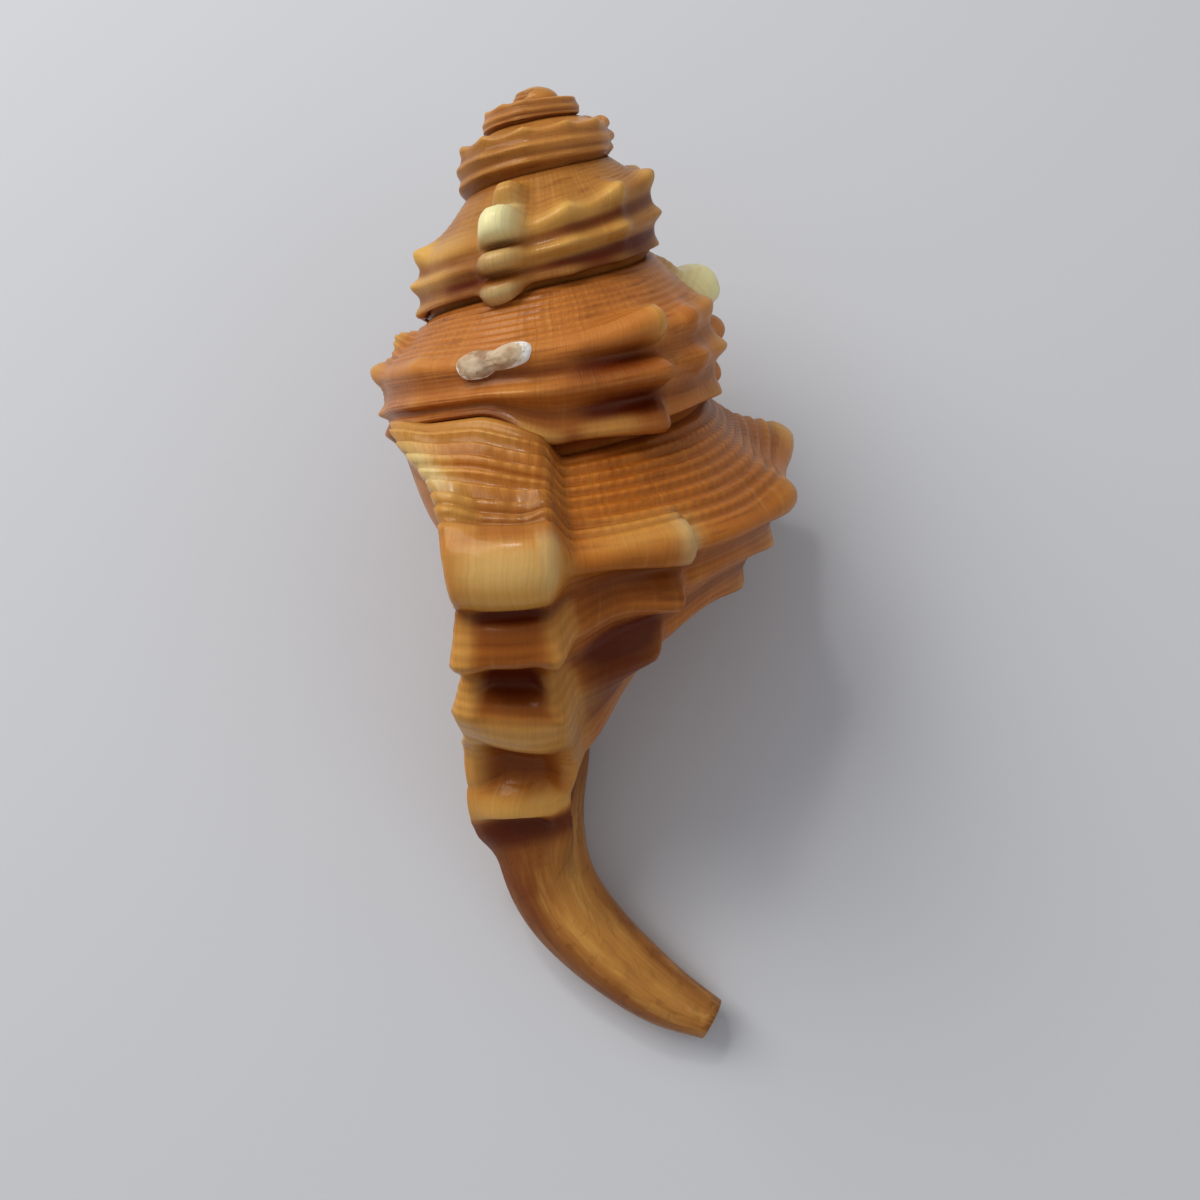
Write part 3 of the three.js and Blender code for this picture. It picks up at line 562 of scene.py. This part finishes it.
def paintAt(angle, band):
    # shares of cream, straw and rust in the colour: soft spots at given growth angles and bands,
    # straw on the crests of the knobs and rust in the grooves between the cords
    shares = {}
    across = (angle - olderEdgeAt(band)) / (newerEdgeAt(band) - olderEdgeAt(band))
    for name in paint["spots"]:
        total = 0 * angle
        for where, marks in ((angle, paint["spots"][name]), (across, paint["lipMarks"][name])):
            for middle, centre, wide, tall, strength in marks:
                spot = strength * flatBump(where, middle, wide) * flatBump(band, centre, tall)
                total = np.maximum(total, spot)
        shares[name] = total
    crests = 0 * angle
    for middle, *heights in knobTable():
        wider = 1 if middle > paint["crestOld"] else paint["crestOldWider"]
        wide = bump(angle, middle, paint["crestWide"] * wider)
        for centre, height in zip(relief["cordBands"], heights):
            spot = wide * bump(band, centre - paint["crestAbove"], paint["crestTall"])
            crests = np.maximum(crests, spot * height / paint["crestFull"])
    shares["straw"] = np.clip(shares["straw"] + np.clip(crests, 0, 1) * paint["crestShare"], 0, 1)
    grooves = sum(h * bump(band, c, w) for c, w, h in paint["grooves"])
    shares["rust"] = np.clip(shares["rust"] + grooves * (1 - shares["straw"]) * (1 - shares["cream"]), 0, 1)
    return shares


def outerSheet(thetas, bands):
    # the outside: the smooth whorl raised by its relief
    angle = growthAngle(*np.broadcast_arrays(thetas[:, None], bands[None]))
    band = np.broadcast_to(bands[None], angle.shape)
    points = raised(angle, band, reliefAt(angle, band))
    first = thetas < whorls["firstTheta"] + whorls["growIn"]
    if first.any():
        # the first whorl rises from the slope of the next one
        start, row = angle[first] + 360, band[first]
        slopeEnd = raised(start, 0 * row + 1, reliefAt(start, 0 * row + 1))
        share = whorls["riseShare"] * row / bands[-1]
        apex = np.array(pose["tip"]) + axisLeft * pose["lean"]
        onSlope = mix(apex, slopeEnd, share[..., None])
        grown = smoothStep(whorls["firstTheta"], whorls["firstTheta"] + whorls["growIn"], start - 360)
        points[first] = mix(onSlope, points[first], grown[..., None])
        points[thetas < whorls["firstTheta"] + 360, 0] = apex  # the middle of the cap is closed
    return {"points": rested(points), "flip": True, "turn": angle / 360, "band": band,
            "inside": 0 * angle, **paintAt(angle, band)}


def evenly(like, **values):
    # the same value of each kind at all points
    return {name: 0 * like + value for name, value in values.items()}


def capSheet():
    # the dome that covers the start of the first whorl: an ellipsoid round the axis
    lat = np.linspace(-math.pi / 2, math.pi / 2, cap["rows"])[:, None]
    lon = np.linspace(0, 360, cap["columns"])[None]
    lat, lon = np.broadcast_arrays(lat, lon)
    points = place(cap["radius"] * np.cos(lat), lon, cap["depth"] - cap["height"] * np.sin(lat))
    return {"points": points, "flip": True,
            **evenly(lat, turn=whorls["firstTheta"] / 360, band=1, inside=0, cream=0,
                     straw=cap["straw"], rust=0)}


def mouthSheet(bands, lipSide):
    # the inner face: from the edge it rounds the rim, then goes back along the growth angle in the
    # passage, and in to the bottom of the slit in the canal
    rim = np.linspace(0, 1, mouth["rimColumns"])
    inward = np.linspace(0, 1, mouth["innerColumns"])[1:] ** mouth["innerPower"]
    step, band = np.broadcast_arrays(np.concatenate([rim - 1, inward])[:, None], bands[None])
    start = whorls["lipTheta"] if lipSide else whorls["lipTheta"] - 360
    slit = canal["slitTheta"] - (0 if lipSide else 360)
    edge = growthAngle(0 * band + start, band)
    inCanal = smoothStep(*mouth["canalBands"], band)
    inside = np.clip(step, 0, 1)
    intoSlit = mix(edge, slit, inside ** mouth["slitPower"])
    angle = mix(edge - mouth["reach"] * inside, intoSlit, inCanal)
    radius = bareSurface(angle, band)[0]
    edgeHeight = reliefAt(edge, band)
    if lipSide:
        wall = mouth["wall"] * mix(mouth["topWall"], 1, smoothStep(0, 1, band))
        wall = mix(wall, mouth["slitWall"], inCanal)
    else:
        wall = mouth["slitWall"] * inCanal
    slitDepth = canal["slitDepth"] * radius * inside
    height = -wall - np.maximum(slitDepth - wall, 0) * inCanal
    turnIn = np.clip(step + 1, 0, 1)
    height = mix(edgeHeight, height, (1 - np.cos(np.pi * turnIn)) / 2)
    swell = (edgeHeight + wall) / 2 * np.sin(np.pi * turnIn) * mouth["rimSwell"]
    swell = np.where(step < 0, swell, 0) * (1 if lipSide else -inCanal)
    angle = angle + np.degrees(swell / np.maximum(radius, 1))
    fromLip = inside * np.radians(mouth["reach"]) * radius
    if lipSide:
        teeth = sum(bump(band, c, mouth["toothWidth"]) for c in mouth["toothBands"])
        stand = bump(fromLip, *mouth["toothSpot"]) * (1 - inCanal) * (step >= 0)
        height = height + mouth["toothHeight"] * teeth * stand
        pale = teeth * bump(fromLip, *mouth["palePatch"])
    else:
        folds = sum(bump(band, c, mouth["foldWidth"]) for c in mouth["foldBands"])
        stand = smoothStep(0, mouth["foldStart"], inside) * (1 - inCanal)
        height = height + mouth["foldHeight"] * folds * stand
        pale = folds * mouth["foldPale"]
    painted = paintAt(edge, band)
    inner = smoothStep(*mouth["innerPaint"], step)
    painted = {name: share * (1 - inner) for name, share in painted.items()}
    painted["cream"] = np.clip(painted["cream"] + inner * (1 - inCanal) * pale, 0, 1)
    return {"points": rested(raised(angle, band, height)), "flip": lipSide, "turn": edge / 360,
            "band": band, "inside": turnIn, **painted}


def endSheet(turnSheet, lipSheet, innerSheet):
    # closes the canal's end: the loop of its open edge, drawn in to the middle line by shares
    # and sunk into the tube, its middle darkened as painted shade inside the hollow tube
    loop = np.concatenate([turnSheet["points"][:, -1], lipSheet["points"][1:, -1],
                           innerSheet["points"][-2::-1, -1]])[None]
    zero = np.zeros(1)
    sunk = np.array(canal["endSunk"])
    middle = place(zero, zero, zero + canal["end"])
    deeper = place(0 * sunk, 0 * sunk, canal["end"] - sunk) - middle
    share = np.array(canal["endShares"])[:, None, None]
    points = mix(loop, middle, share) + deeper[:, None]
    # painted shade: the middle of the closed end is darkened as the inside of the hollow tube would be
    dark = 0 * points[..., 0] + smoothStep(*canal["endPaintedShade"], share[..., 0])
    return {"points": rested(points), "rust": dark,
            **evenly(dark, turn=0, band=canal["lastBand"], inside=0, cream=0, straw=0)}


def sheetFaces(rows, columns, first, flip):
    # quads of a grid of rows by columns whose first vertex is numbered first, turned over by flip
    index = first + np.arange(rows * columns).reshape(rows, columns)
    quads = np.stack([index[:-1, :-1], index[:-1, 1:], index[1:, 1:], index[1:, :-1]], -1).reshape(-1, 4)
    return quads[:, ::-1] if flip else quads


def meshOf(name, sheets, weld=0.003):
    # one object from several grids, with their values as point attributes and their edges welded
    points = np.concatenate([s["points"].reshape(-1, 3) for s in sheets])
    faces, first = [], 0
    for sheet in sheets:
        rows, columns = sheet["turn"].shape
        faces.append(sheetFaces(rows, columns, first, sheet.get("flip", False)))
        first += rows * columns
    faces = np.concatenate(faces)
    mesh = bpy.data.meshes.new(name)
    mesh.vertices.add(len(points))
    mesh.vertices.foreach_set("co", (points * millimetre).astype(np.float32).ravel())
    mesh.loops.add(faces.size)
    mesh.loops.foreach_set("vertex_index", faces.ravel().astype(np.int32))
    mesh.polygons.add(len(faces))
    mesh.polygons.foreach_set("loop_start", np.arange(0, faces.size, 4, dtype=np.int32))
    mesh.update(calc_edges=True)
    for key in [k for k in sheets[0] if k not in ("points", "flip")]:
        values = np.concatenate([s[key].reshape(-1) for s in sheets])
        mesh.attributes.new(key, "FLOAT", "POINT").data.foreach_set("value", values.astype(np.float32))
    work = bmesh.new()
    work.from_mesh(mesh)
    bmesh.ops.remove_doubles(work, verts=work.verts, dist=weld * millimetre)
    bmesh.ops.dissolve_degenerate(work, edges=work.edges, dist=weld * millimetre / 3)
    work.to_mesh(mesh)
    work.free()
    mesh.polygons.foreach_set("use_smooth", np.ones(len(mesh.polygons), bool))
    body = bpy.data.objects.new(name, mesh)
    bpy.context.scene.collection.objects.link(body)
    return body


def steps(*stops):
    # evenly spaced values through the stops: (start, step), (start, step), ..., end
    parts = []
    for (start, step), following in zip(stops[:-1], stops[1:]):
        end = following[0] if isinstance(following, tuple) else following
        parts.append(np.linspace(start, end, round((end - start) / step) + 1)[:-1])
    return np.append(np.concatenate(parts), stops[-1])


grid = {
    # values from which and steps by which the rows and columns stand
    "spireThetas": ((-1400, 4.5), (-1068, 3), (-708, 2.1)),
    "firstStep": 6,
    "lastStep": 1.6,
    "lipFrom": (-60, 1.2),
    "spireBands": ((0, 0.06), (2, 0.075), 7.35),
    "lowBands": ((7.35, 0.12), (9, 0.09), (11, 0.15), 15),
}

joinTheta = whorls["lipTheta"] - 360
spireBands = steps(*grid["spireBands"])
lowBands = steps(*grid["lowBands"])
lastBands = np.concatenate([spireBands[:-1], lowBands])
spireThetas = steps((whorls["firstTheta"], grid["firstStep"]), *grid["spireThetas"], joinTheta)
lastThetas = steps((joinTheta, grid["lastStep"]), grid["lipFrom"], whorls["lipTheta"])

spire = outerSheet(spireThetas, spireBands)
lastTurn = outerSheet(lastThetas, lastBands)
lip = mouthSheet(lastBands, True)
columella = mouthSheet(lowBands, False)
# both walls of the canal's slit meet at its bottom
closedFrom = mouth["canalBands"][1]
columella["points"][-1, lowBands >= closedFrom] = lip["points"][-1, lastBands >= closedFrom]
end = endSheet(lastTurn, lip, columella)
shell = meshOf("shellBody", [spire, lastTurn, lip, columella, capSheet(), end])
print("shell", len(shell.data.vertices), "points", len(shell.data.polygons), "faces")
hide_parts("shell")
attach(shell, "root")

crust = {
    # lumps side by side: growth angle, band, half sizes along the whorl, along the axis, outwards
    "lumps": [(-346, 2.2, (1.85, 1.1, 0.85)), (-357.5, 2.02, (1.75, 0.95, 0.85))],
    "slant": (-4, -0.07),
    "rows": 90,
    "columns": 140,
    "sunk": 0.15,
    "joint": 3,           # the higher, the sharper the waist between the lumps
    # rough skin: how quickly each sine changes and the direction it changes in, then the size
    # that stays even and the share of the sines
    "skin": [(7, (1, 0.4, 0.2)), (11, (-0.3, 1, 0.5)), (17, (0.6, -0.5, 1)), (29, (0.8, 0.9, -0.4))],
    "skinShares": (0.96, 0.2),
}


def bareSpot(angles, bands, height):
    # points that stand height off the whorl and its relief at the first angle
    return raised(angles, bands, reliefAt(angles, bands)[:, :1] + height)[0]


def seatOf(theta, band):
    # where a lump sits, and its own three directions: along it, across it and outwards
    angles = np.array([[theta, theta + crust["slant"][0]]])
    bands = np.array([[band, band + crust["slant"][1]]])
    seat, onward = bareSpot(angles, bands, 0)
    out = bareSpot(angles, bands, 1)[0] - seat
    onward = onward - seat
    onward = onward - out * (onward @ out)
    onward = onward / np.linalg.norm(onward)
    return seat - out * crust["sunk"], np.stack([onward, np.cross(out, onward), out])


def crustSheet():
    # distance from the middle to the nearest far side of two ellipsoids, joined softly, with
    # a rough skin of sines, on a grid of longitude and latitude
    seats, axes = zip(*(seatOf(theta, band) for theta, band, _ in crust["lumps"]))
    middle = (seats[0] + seats[1]) / 2
    lat = np.linspace(-math.pi / 2, math.pi / 2, crust["rows"])[:, None]
    lon = np.linspace(0, 2 * math.pi, crust["columns"])[None]
    level = np.cos(lat)
    flat = np.stack(np.broadcast_arrays(level * np.cos(lon), level * np.sin(lon), np.sin(lat)), -1)
    ray = flat @ axes[0]
    far = []
    for seat, axis, (_, _, half) in zip(seats, axes, crust["lumps"]):
        start = (middle - seat) @ axis.T / half
        way = ray @ axis.T / half
        a, b, c = (way ** 2).sum(-1), (way * start).sum(-1), (start ** 2).sum() - 1
        far.append((np.sqrt(np.maximum(b * b - a * c, 0)) - b) / a)
    joint = crust["joint"]
    reach = np.log(sum(np.exp(way * joint) for way in far)) / joint
    skin = sum(np.sin(k * (ray @ np.array(w)) + k) / k for k, w in crust["skin"])
    even, rough = crust["skinShares"]
    reach = reach * (even + rough * skin)
    return {"points": middle + ray * reach[..., None], "turn": ray @ axes[0][0], "height": ray @ axes[0][2]}


lump = meshOf("crustLump", [crustSheet()])
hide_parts("crust")
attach(lump, "root")
print("crust", len(lump.data.polygons), "faces")

# the colours, in sRGB from 0 to 255
colours = {
    "body": (186, 114, 42),
    "older": (194, 124, 58),
    "spire": (180, 124, 58),
    "cap": (202, 140, 72),
    "straw": (218, 170, 92),
    "cream": (238, 228, 172),
    # a deep red brown: the shell's own spots and grooves, and also painted shade at the top of the canal and
    # in its closed end
    "rust": (96, 32, 5),
    "inside": (222, 144, 90),
    "canal": (176, 116, 54),
    "crust": (208, 186, 156),
    "crustShade": (178, 144, 108),
    "crustEdge": (244, 240, 232),
    "crustBlot": (120, 72, 44),
}


def linear(name):
    # an sRGB colour as linear light
    shares = [c / 255 for c in colours[name]]
    return (*[((c + 0.055) / 1.055) ** 2.4 if c > 0.04 else c / 12.92 for c in shares], 1)


def treeOf(name):
    # a new material, its nodes and its shader
    material = bpy.data.materials.new(name)
    material.use_nodes = True
    return material, material.node_tree, material.node_tree.nodes["Principled BSDF"]


def feed(tree, socket, value):
    # links a socket or sets a plain value
    if isinstance(value, bpy.types.NodeSocket):
        tree.links.new(value, socket)
    else:
        socket.default_value = value


def calc(tree, operation, a, b=0.0):
    # one Math node
    node = tree.nodes.new("ShaderNodeMath")
    node.operation = operation
    feed(tree, node.inputs[0], a)
    feed(tree, node.inputs[1], b)
    return node.outputs[0]


def times(tree, a, b):
    # a times b
    return calc(tree, "MULTIPLY", a, b)


def blend(tree, share, a, b):
    # the colour a where the share is 0 and b where it is 1
    node = tree.nodes.new("ShaderNodeMix")
    node.data_type = "RGBA"
    feed(tree, node.inputs[0], share)
    feed(tree, node.inputs[6], a)
    feed(tree, node.inputs[7], b)
    return node.outputs[2]


def between(tree, value, low, high, fromValue=0.0, toValue=1.0):
    # a smooth step of the value from low to high
    node = tree.nodes.new("ShaderNodeMapRange")
    node.interpolation_type = "SMOOTHSTEP"
    for key, given in zip((0, 1, 2, 3, 4), (value, low, high, fromValue, toValue)):
        feed(tree, node.inputs[key], given)
    return node.outputs[0]


def read(tree, name):
    # a point attribute of the piece
    node = tree.nodes.new("ShaderNodeAttribute")
    node.attribute_name = name
    return node.outputs["Fac"]


def noise(tree, vector, scale, detail=2.0, roughness=0.5):
    # soft noise from 0 to 1
    node = tree.nodes.new("ShaderNodeTexNoise")
    feed(tree, node.inputs["Vector"], vector)
    node.inputs["Scale"].default_value = scale
    node.inputs["Detail"].default_value = detail
    node.inputs["Roughness"].default_value = roughness
    return node.outputs["Fac"]


def grain(tree, angle, band, name):
    # noise over growth angle and band, each times its own scale
    perDegree, perBand, detail, roughness = shellFinish["grains"][name]
    node = tree.nodes.new("ShaderNodeCombineXYZ")
    feed(tree, node.inputs[0], times(tree, angle, perDegree))
    feed(tree, node.inputs[1], times(tree, band, perBand))
    return noise(tree, node.outputs[0], 1.0, detail, roughness)


def wave(tree, value, period, start=0.0):
    # a cosine of the value, from 0 to 1, highest at start
    turned = times(tree, calc(tree, "SUBTRACT", value, start), 2 * math.pi / period)
    return calc(tree, "ADD", times(tree, calc(tree, "COSINE", turned), 0.5), 0.5)


def roughen(tree, skin, height, strength, distance):
    # a Bump node of the height, its distance in millimetres, on the shader's normal
    bumps = tree.nodes.new("ShaderNodeBump")
    bumps.inputs["Strength"].default_value = strength
    bumps.inputs["Distance"].default_value = distance * millimetre
    feed(tree, bumps.inputs["Height"], height)
    feed(tree, skin.inputs["Normal"], bumps.outputs[0])


shellFinish = {
    # noises over growth angle and band: scale for a degree, scale for a band, detail, roughness
    "grains": {
        "streaks": (0.45, 0.35, 3.0, 0.6),
        "fineStreaks": (1.6, 0.6, 2.0, 0.6),
        "along": (0.04, 5.0, 3.0, 0.65),
        "longStreaks": (0.05, 0.55, 4.0, 0.65),
    },
    "wander": (160.0, 5.0),        # scale and degrees of the growth lines' wandering
    "blots": (170.0, 3.0, 0.6),
    "pores": 1400.0,
    # ranges of turns or bands over which one colour gives way to the next
    "olderTurns": (-1.62, -1.4),
    "bodyTurns": (-0.8, -0.5),
    "capTurns": (-2.9, -3.1),
    "canalBands": (9.2, 11.0),
    "canalShadeFrom": (10.3, 10.8),    # painted shade: a dark collar at the top of the canal, where the lip's skirt shades it
    "canalShadeTo": (12.2, 11.2),
    "canalShade": 0.45,
    "longFrom": (10.4, 11.4),      # pale and dark streaks along the canal
    "longPale": (0.48, 0.66),
    "longPaleShare": 0.45,
    "longDark": (0.46, 0.32),
    "longDarkShare": 0.4,
    "alongRust": (0.52, 0.72, 0.4),       # noise from, to, and the share at most
    "streakStraw": (0.5, 0.75, 0.22),
    "blotRust": (0.45, 0.7, 0.25),
    "fineShade": (0.4, 0.75, 0.0, 0.1),
    # threads of the slope and of the lower whorl: where they are and how dark between them
    "slopeFrom": (0.1, 0.35),
    "slopeTo": (1.9, 1.6),
    "slopeTurns": (-1.4, -0.5, 0.22, 1.0),
    "slopeShade": 0.3,
    "lowPeriod": 0.25,
    "lowFrom": (2.3, 2.7),
    "lowTo": (8.6, 7.6),
    "lowTurns": (-1.3, -0.7, 0.15, 0.9),
    "lowShade": 0.16,
    "insideFrom": (0.75, 1.0),
    "insideCream": (0.5, 0.8),
    "roughness": (0.3, 0.22),      # least, and how much the growth lines add
    "settings": {
        "Specular IOR Level": 0.3,
        "Specular Tint": (1.0, 0.7, 0.4, 1),
        "Coat Weight": 0.22,
        "Coat Roughness": 0.14,
        "Subsurface Weight": 0.08,
        "Subsurface Radius": (1.0, 0.45, 0.2),
        "Subsurface Scale": 0.8 * millimetre,
    },
    # heights of the bump: growth lines, beads on the threads, low threads and pores
    "lineHeight": 0.3,
    "beadPeriod": 3.2,             # degrees
    "beadShares": (0.6, 0.4, 0.9), # of the beads, of the even thread, and of both together
    "lowHeight": -0.35,
    "poreHeight": 0.25,
    "bump": (0.5, 0.25),           # strength and millimetres
}


def shellMaterial():
    # colours laid over each other by masks of growth angle, band and noise
    finish = shellFinish
    material, tree, skin = treeOf("shellPorcelain")
    where = tree.nodes.new("ShaderNodeTexCoord").outputs["Object"]
    turn, band, inside = (read(tree, k) for k in ("turn", "band", "inside"))
    cream, straw, rust = (read(tree, k) for k in ("cream", "straw", "rust"))
    degrees = times(tree, turn, 360.0)

    # growth lines run down the whorl, wandering a little; threads run along it
    scale, reach = finish["wander"]
    lineAngle = calc(tree, "ADD", degrees, times(tree, noise(tree, where, scale), reach))
    streaks, fineStreaks, longStreaks = (grain(tree, lineAngle, band, k)
                                         for k in ("streaks", "fineStreaks", "longStreaks"))
    along = grain(tree, degrees, band, "along")
    blots = noise(tree, where, *finish["blots"])

    onSlope = times(tree, between(tree, band, *finish["slopeFrom"]), between(tree, band, *finish["slopeTo"]))
    onSlope = times(tree, onSlope, between(tree, turn, *finish["slopeTurns"]))
    threads = wave(tree, band, relief["slopeCords"], relief["slopeStart"])
    lowThreads = times(tree, wave(tree, band, finish["lowPeriod"]), between(tree, band, *finish["lowFrom"]))
    lowThreads = times(tree, lowThreads, between(tree, band, *finish["lowTo"]))
    lowThreads = times(tree, lowThreads, between(tree, turn, *finish["lowTurns"]))

    # painted shade: a dark collar at the top of the canal, where the lip's skirt shades it
    canalShade = times(tree, between(tree, band, *finish["canalShadeFrom"]), between(tree, band, *finish["canalShadeTo"]))
    onCanal = between(tree, band, *finish["longFrom"])
    pale = times(tree, between(tree, longStreaks, *finish["longPale"]), onCanal)
    dark = times(tree, between(tree, longStreaks, *finish["longDark"]), onCanal)
    shade = times(tree, calc(tree, "SUBTRACT", 1.0, threads), onSlope)
    shade = calc(tree, "ADD", times(tree, shade, finish["slopeShade"]),
                 times(tree, lowThreads, finish["lowShade"]))
    shade = calc(tree, "ADD", shade, between(tree, fineStreaks, *finish["fineShade"]))

    def most(value, name):
        # a smooth step of the value, at most a share
        low, high, share = finish[name]
        return times(tree, between(tree, value, low, high), share)

    base = linear("spire")
    for share, name in (
        (between(tree, turn, *finish["olderTurns"]), "older"),
        (between(tree, turn, *finish["bodyTurns"]), "body"),
        (between(tree, turn, *finish["capTurns"]), "cap"),
        (between(tree, band, *finish["canalBands"]), "canal"),
        # painted shade at the top of the canal
        (times(tree, canalShade, finish["canalShade"]), "rust"),
        (times(tree, pale, finish["longPaleShare"]), "straw"),
        (times(tree, dark, finish["longDarkShare"]), "rust"),
        (most(along, "alongRust"), "rust"),
        (most(streaks, "streakStraw"), "straw"),
        (most(blots, "blotRust"), "rust"),
        # the shell's red brown spots and grooves, and the painted shade of the canal's closed end
        (rust, "rust"),
        (straw, "straw"),
        (cream, "cream"),
        (shade, "rust"),
        (between(tree, inside, *finish["insideFrom"]), "inside"),
        (times(tree, cream, between(tree, inside, *finish["insideCream"])), "cream"),
    ):
        base = blend(tree, share, base, linear(name))
    feed(tree, skin.inputs["Base Color"], base)

    least, more = finish["roughness"]
    feed(tree, skin.inputs["Roughness"], calc(tree, "ADD", least, times(tree, fineStreaks, more)))
    for name, value in finish["settings"].items():
        skin.inputs[name].default_value = value

    wavy, even, tall = finish["beadShares"]
    beads = calc(tree, "ADD", times(tree, wave(tree, lineAngle, finish["beadPeriod"]), wavy), even)
    beads = times(tree, times(tree, threads, onSlope), beads)
    height = times(tree, fineStreaks, finish["lineHeight"])
    for part, share in ((beads, tall), (lowThreads, finish["lowHeight"]),
                        (noise(tree, where, finish["pores"]), finish["poreHeight"])):
        height = calc(tree, "ADD", height, times(tree, part, share))
    roughen(tree, skin, height, *finish["bump"])
    return material


crustFinish = {
    "coarse": (700.0, 3.0, 0.6),
    "fine": (2600.0, 3.0, 0.7),
    "shade": (0.4, 0.7),
    "blots": (0.58, 0.72, 0.0, 0.5),
    # a brown stain near its left end, and a broken white edge where it meets the shell
    "stainWander": 0.8,
    "stainFrom": (-0.45, -0.2),
    "stainTo": (0.25, 0.0),
    "stain": 0.35,
    "edgeWander": 0.5,
    "edge": (0.42, 0.3),
    "roughness": 0.8,
    "bump": (0.6, 0.2),            # strength and millimetres
}


def crustMaterial():
    # chalk with blots, a stain and an edge by noise over its length and height
    finish = crustFinish
    material, tree, skin = treeOf("crustChalk")
    where = tree.nodes.new("ShaderNodeTexCoord").outputs["Object"]
    coarse, fine = noise(tree, where, *finish["coarse"]), noise(tree, where, *finish["fine"])
    along = calc(tree, "ADD", read(tree, "turn"), times(tree, coarse, finish["stainWander"]))
    stain = times(tree, between(tree, along, *finish["stainTo"]), between(tree, along, *finish["stainFrom"]))
    edge = calc(tree, "ADD", read(tree, "height"), times(tree, fine, finish["edgeWander"]))
    base = linear("crust")
    for share, name in (
        (between(tree, coarse, *finish["shade"]), "crustShade"),
        (between(tree, fine, *finish["blots"]), "crustBlot"),
        (times(tree, stain, finish["stain"]), "crustBlot"),
        (between(tree, edge, *finish["edge"]), "crustEdge"),
    ):
        base = blend(tree, share, base, linear(name))
    feed(tree, skin.inputs["Base Color"], base)
    skin.inputs["Roughness"].default_value = finish["roughness"]
    roughen(tree, skin, fine, *finish["bump"])
    return material


shell.data.materials.append(shellMaterial())
lump.data.materials.append(crustMaterial())
print("materials", [material.name for material in bpy.data.materials])

studio = {
    "floor": 6.0,         # metres across
    "floorColour": (0.6, 0.6, 0.605, 1),
    "floorRoughness": 0.9,
    "target": (0, 0, 10),
    "lights": [
        # name, place in mm, size in mm, watts
        ("window", (-260, 220, 330), 300, 1.15),
        ("fill", (300, -150, 260), 300, 0.1),
        ("glint", (-90, 230, 330), 40, 0.12),
    ],
    "sky": (0.9, 0.93, 1.0),
    "skyStrength": 0.42,
}


def addFloor():
    # one square at height 0
    half = studio["floor"] / 2
    corners = [(-half, -half, 0), (half, -half, 0), (half, half, 0), (-half, half, 0)]
    mesh = bpy.data.meshes.new("floor")
    mesh.from_pydata(corners, [], [(0, 1, 2, 3)])
    floor = bpy.data.objects.new("floor", mesh)
    bpy.context.scene.collection.objects.link(floor)
    material, _, skin = treeOf("floorPaper")
    skin.inputs["Base Color"].default_value = studio["floorColour"]
    skin.inputs["Roughness"].default_value = studio["floorRoughness"]
    mesh.materials.append(material)


def addLights():
    # square lamps turned to the target, in an even pale room
    target = Vector(studio["target"]) * millimetre
    for name, spot, size, watts in studio["lights"]:
        lamp = bpy.data.lights.new(name, "AREA")
        lamp.size = size * millimetre
        lamp.energy = watts
        body = bpy.data.objects.new(name, lamp)
        body.location = Vector(spot) * millimetre
        body.rotation_euler = (target - body.location).to_track_quat("-Z", "Y").to_euler()
        bpy.context.scene.collection.objects.link(body)
    world = bpy.data.worlds.new("softRoom")
    world.use_nodes = True
    back = world.node_tree.nodes["Background"]
    back.inputs["Color"].default_value = (*studio["sky"], 1)
    back.inputs["Strength"].default_value = studio["skyStrength"]
    bpy.context.scene.world = world
    bpy.context.scene.view_settings.view_transform = "Standard"
    bpy.context.scene.view_settings.look = "Medium High Contrast"


def addCamera():
    # right and up made square to each other, and the third direction square to both
    right, up = Vector(camera["right"]).normalized(), Vector(camera["up"])
    up = (up - right * up.dot(right)).normalized()
    back = right.cross(up)
    lens = bpy.data.cameras.new("camera")
    lens.lens = camera["lens"]
    lens.sensor_width = camera["film"]
    lens.clip_start = camera["nearest"]
    body = bpy.data.objects.new("camera", lens)
    turned = Matrix((right, up, back)).transposed().to_4x4()
    body.matrix_world = Matrix.Translation(Vector(camera["place"]) * millimetre) @ turned
    bpy.context.scene.collection.objects.link(body)
    bpy.context.scene.camera = body


addFloor()
addLights()
addCamera()
print("lights", len(studio["lights"]), "and the camera are placed")
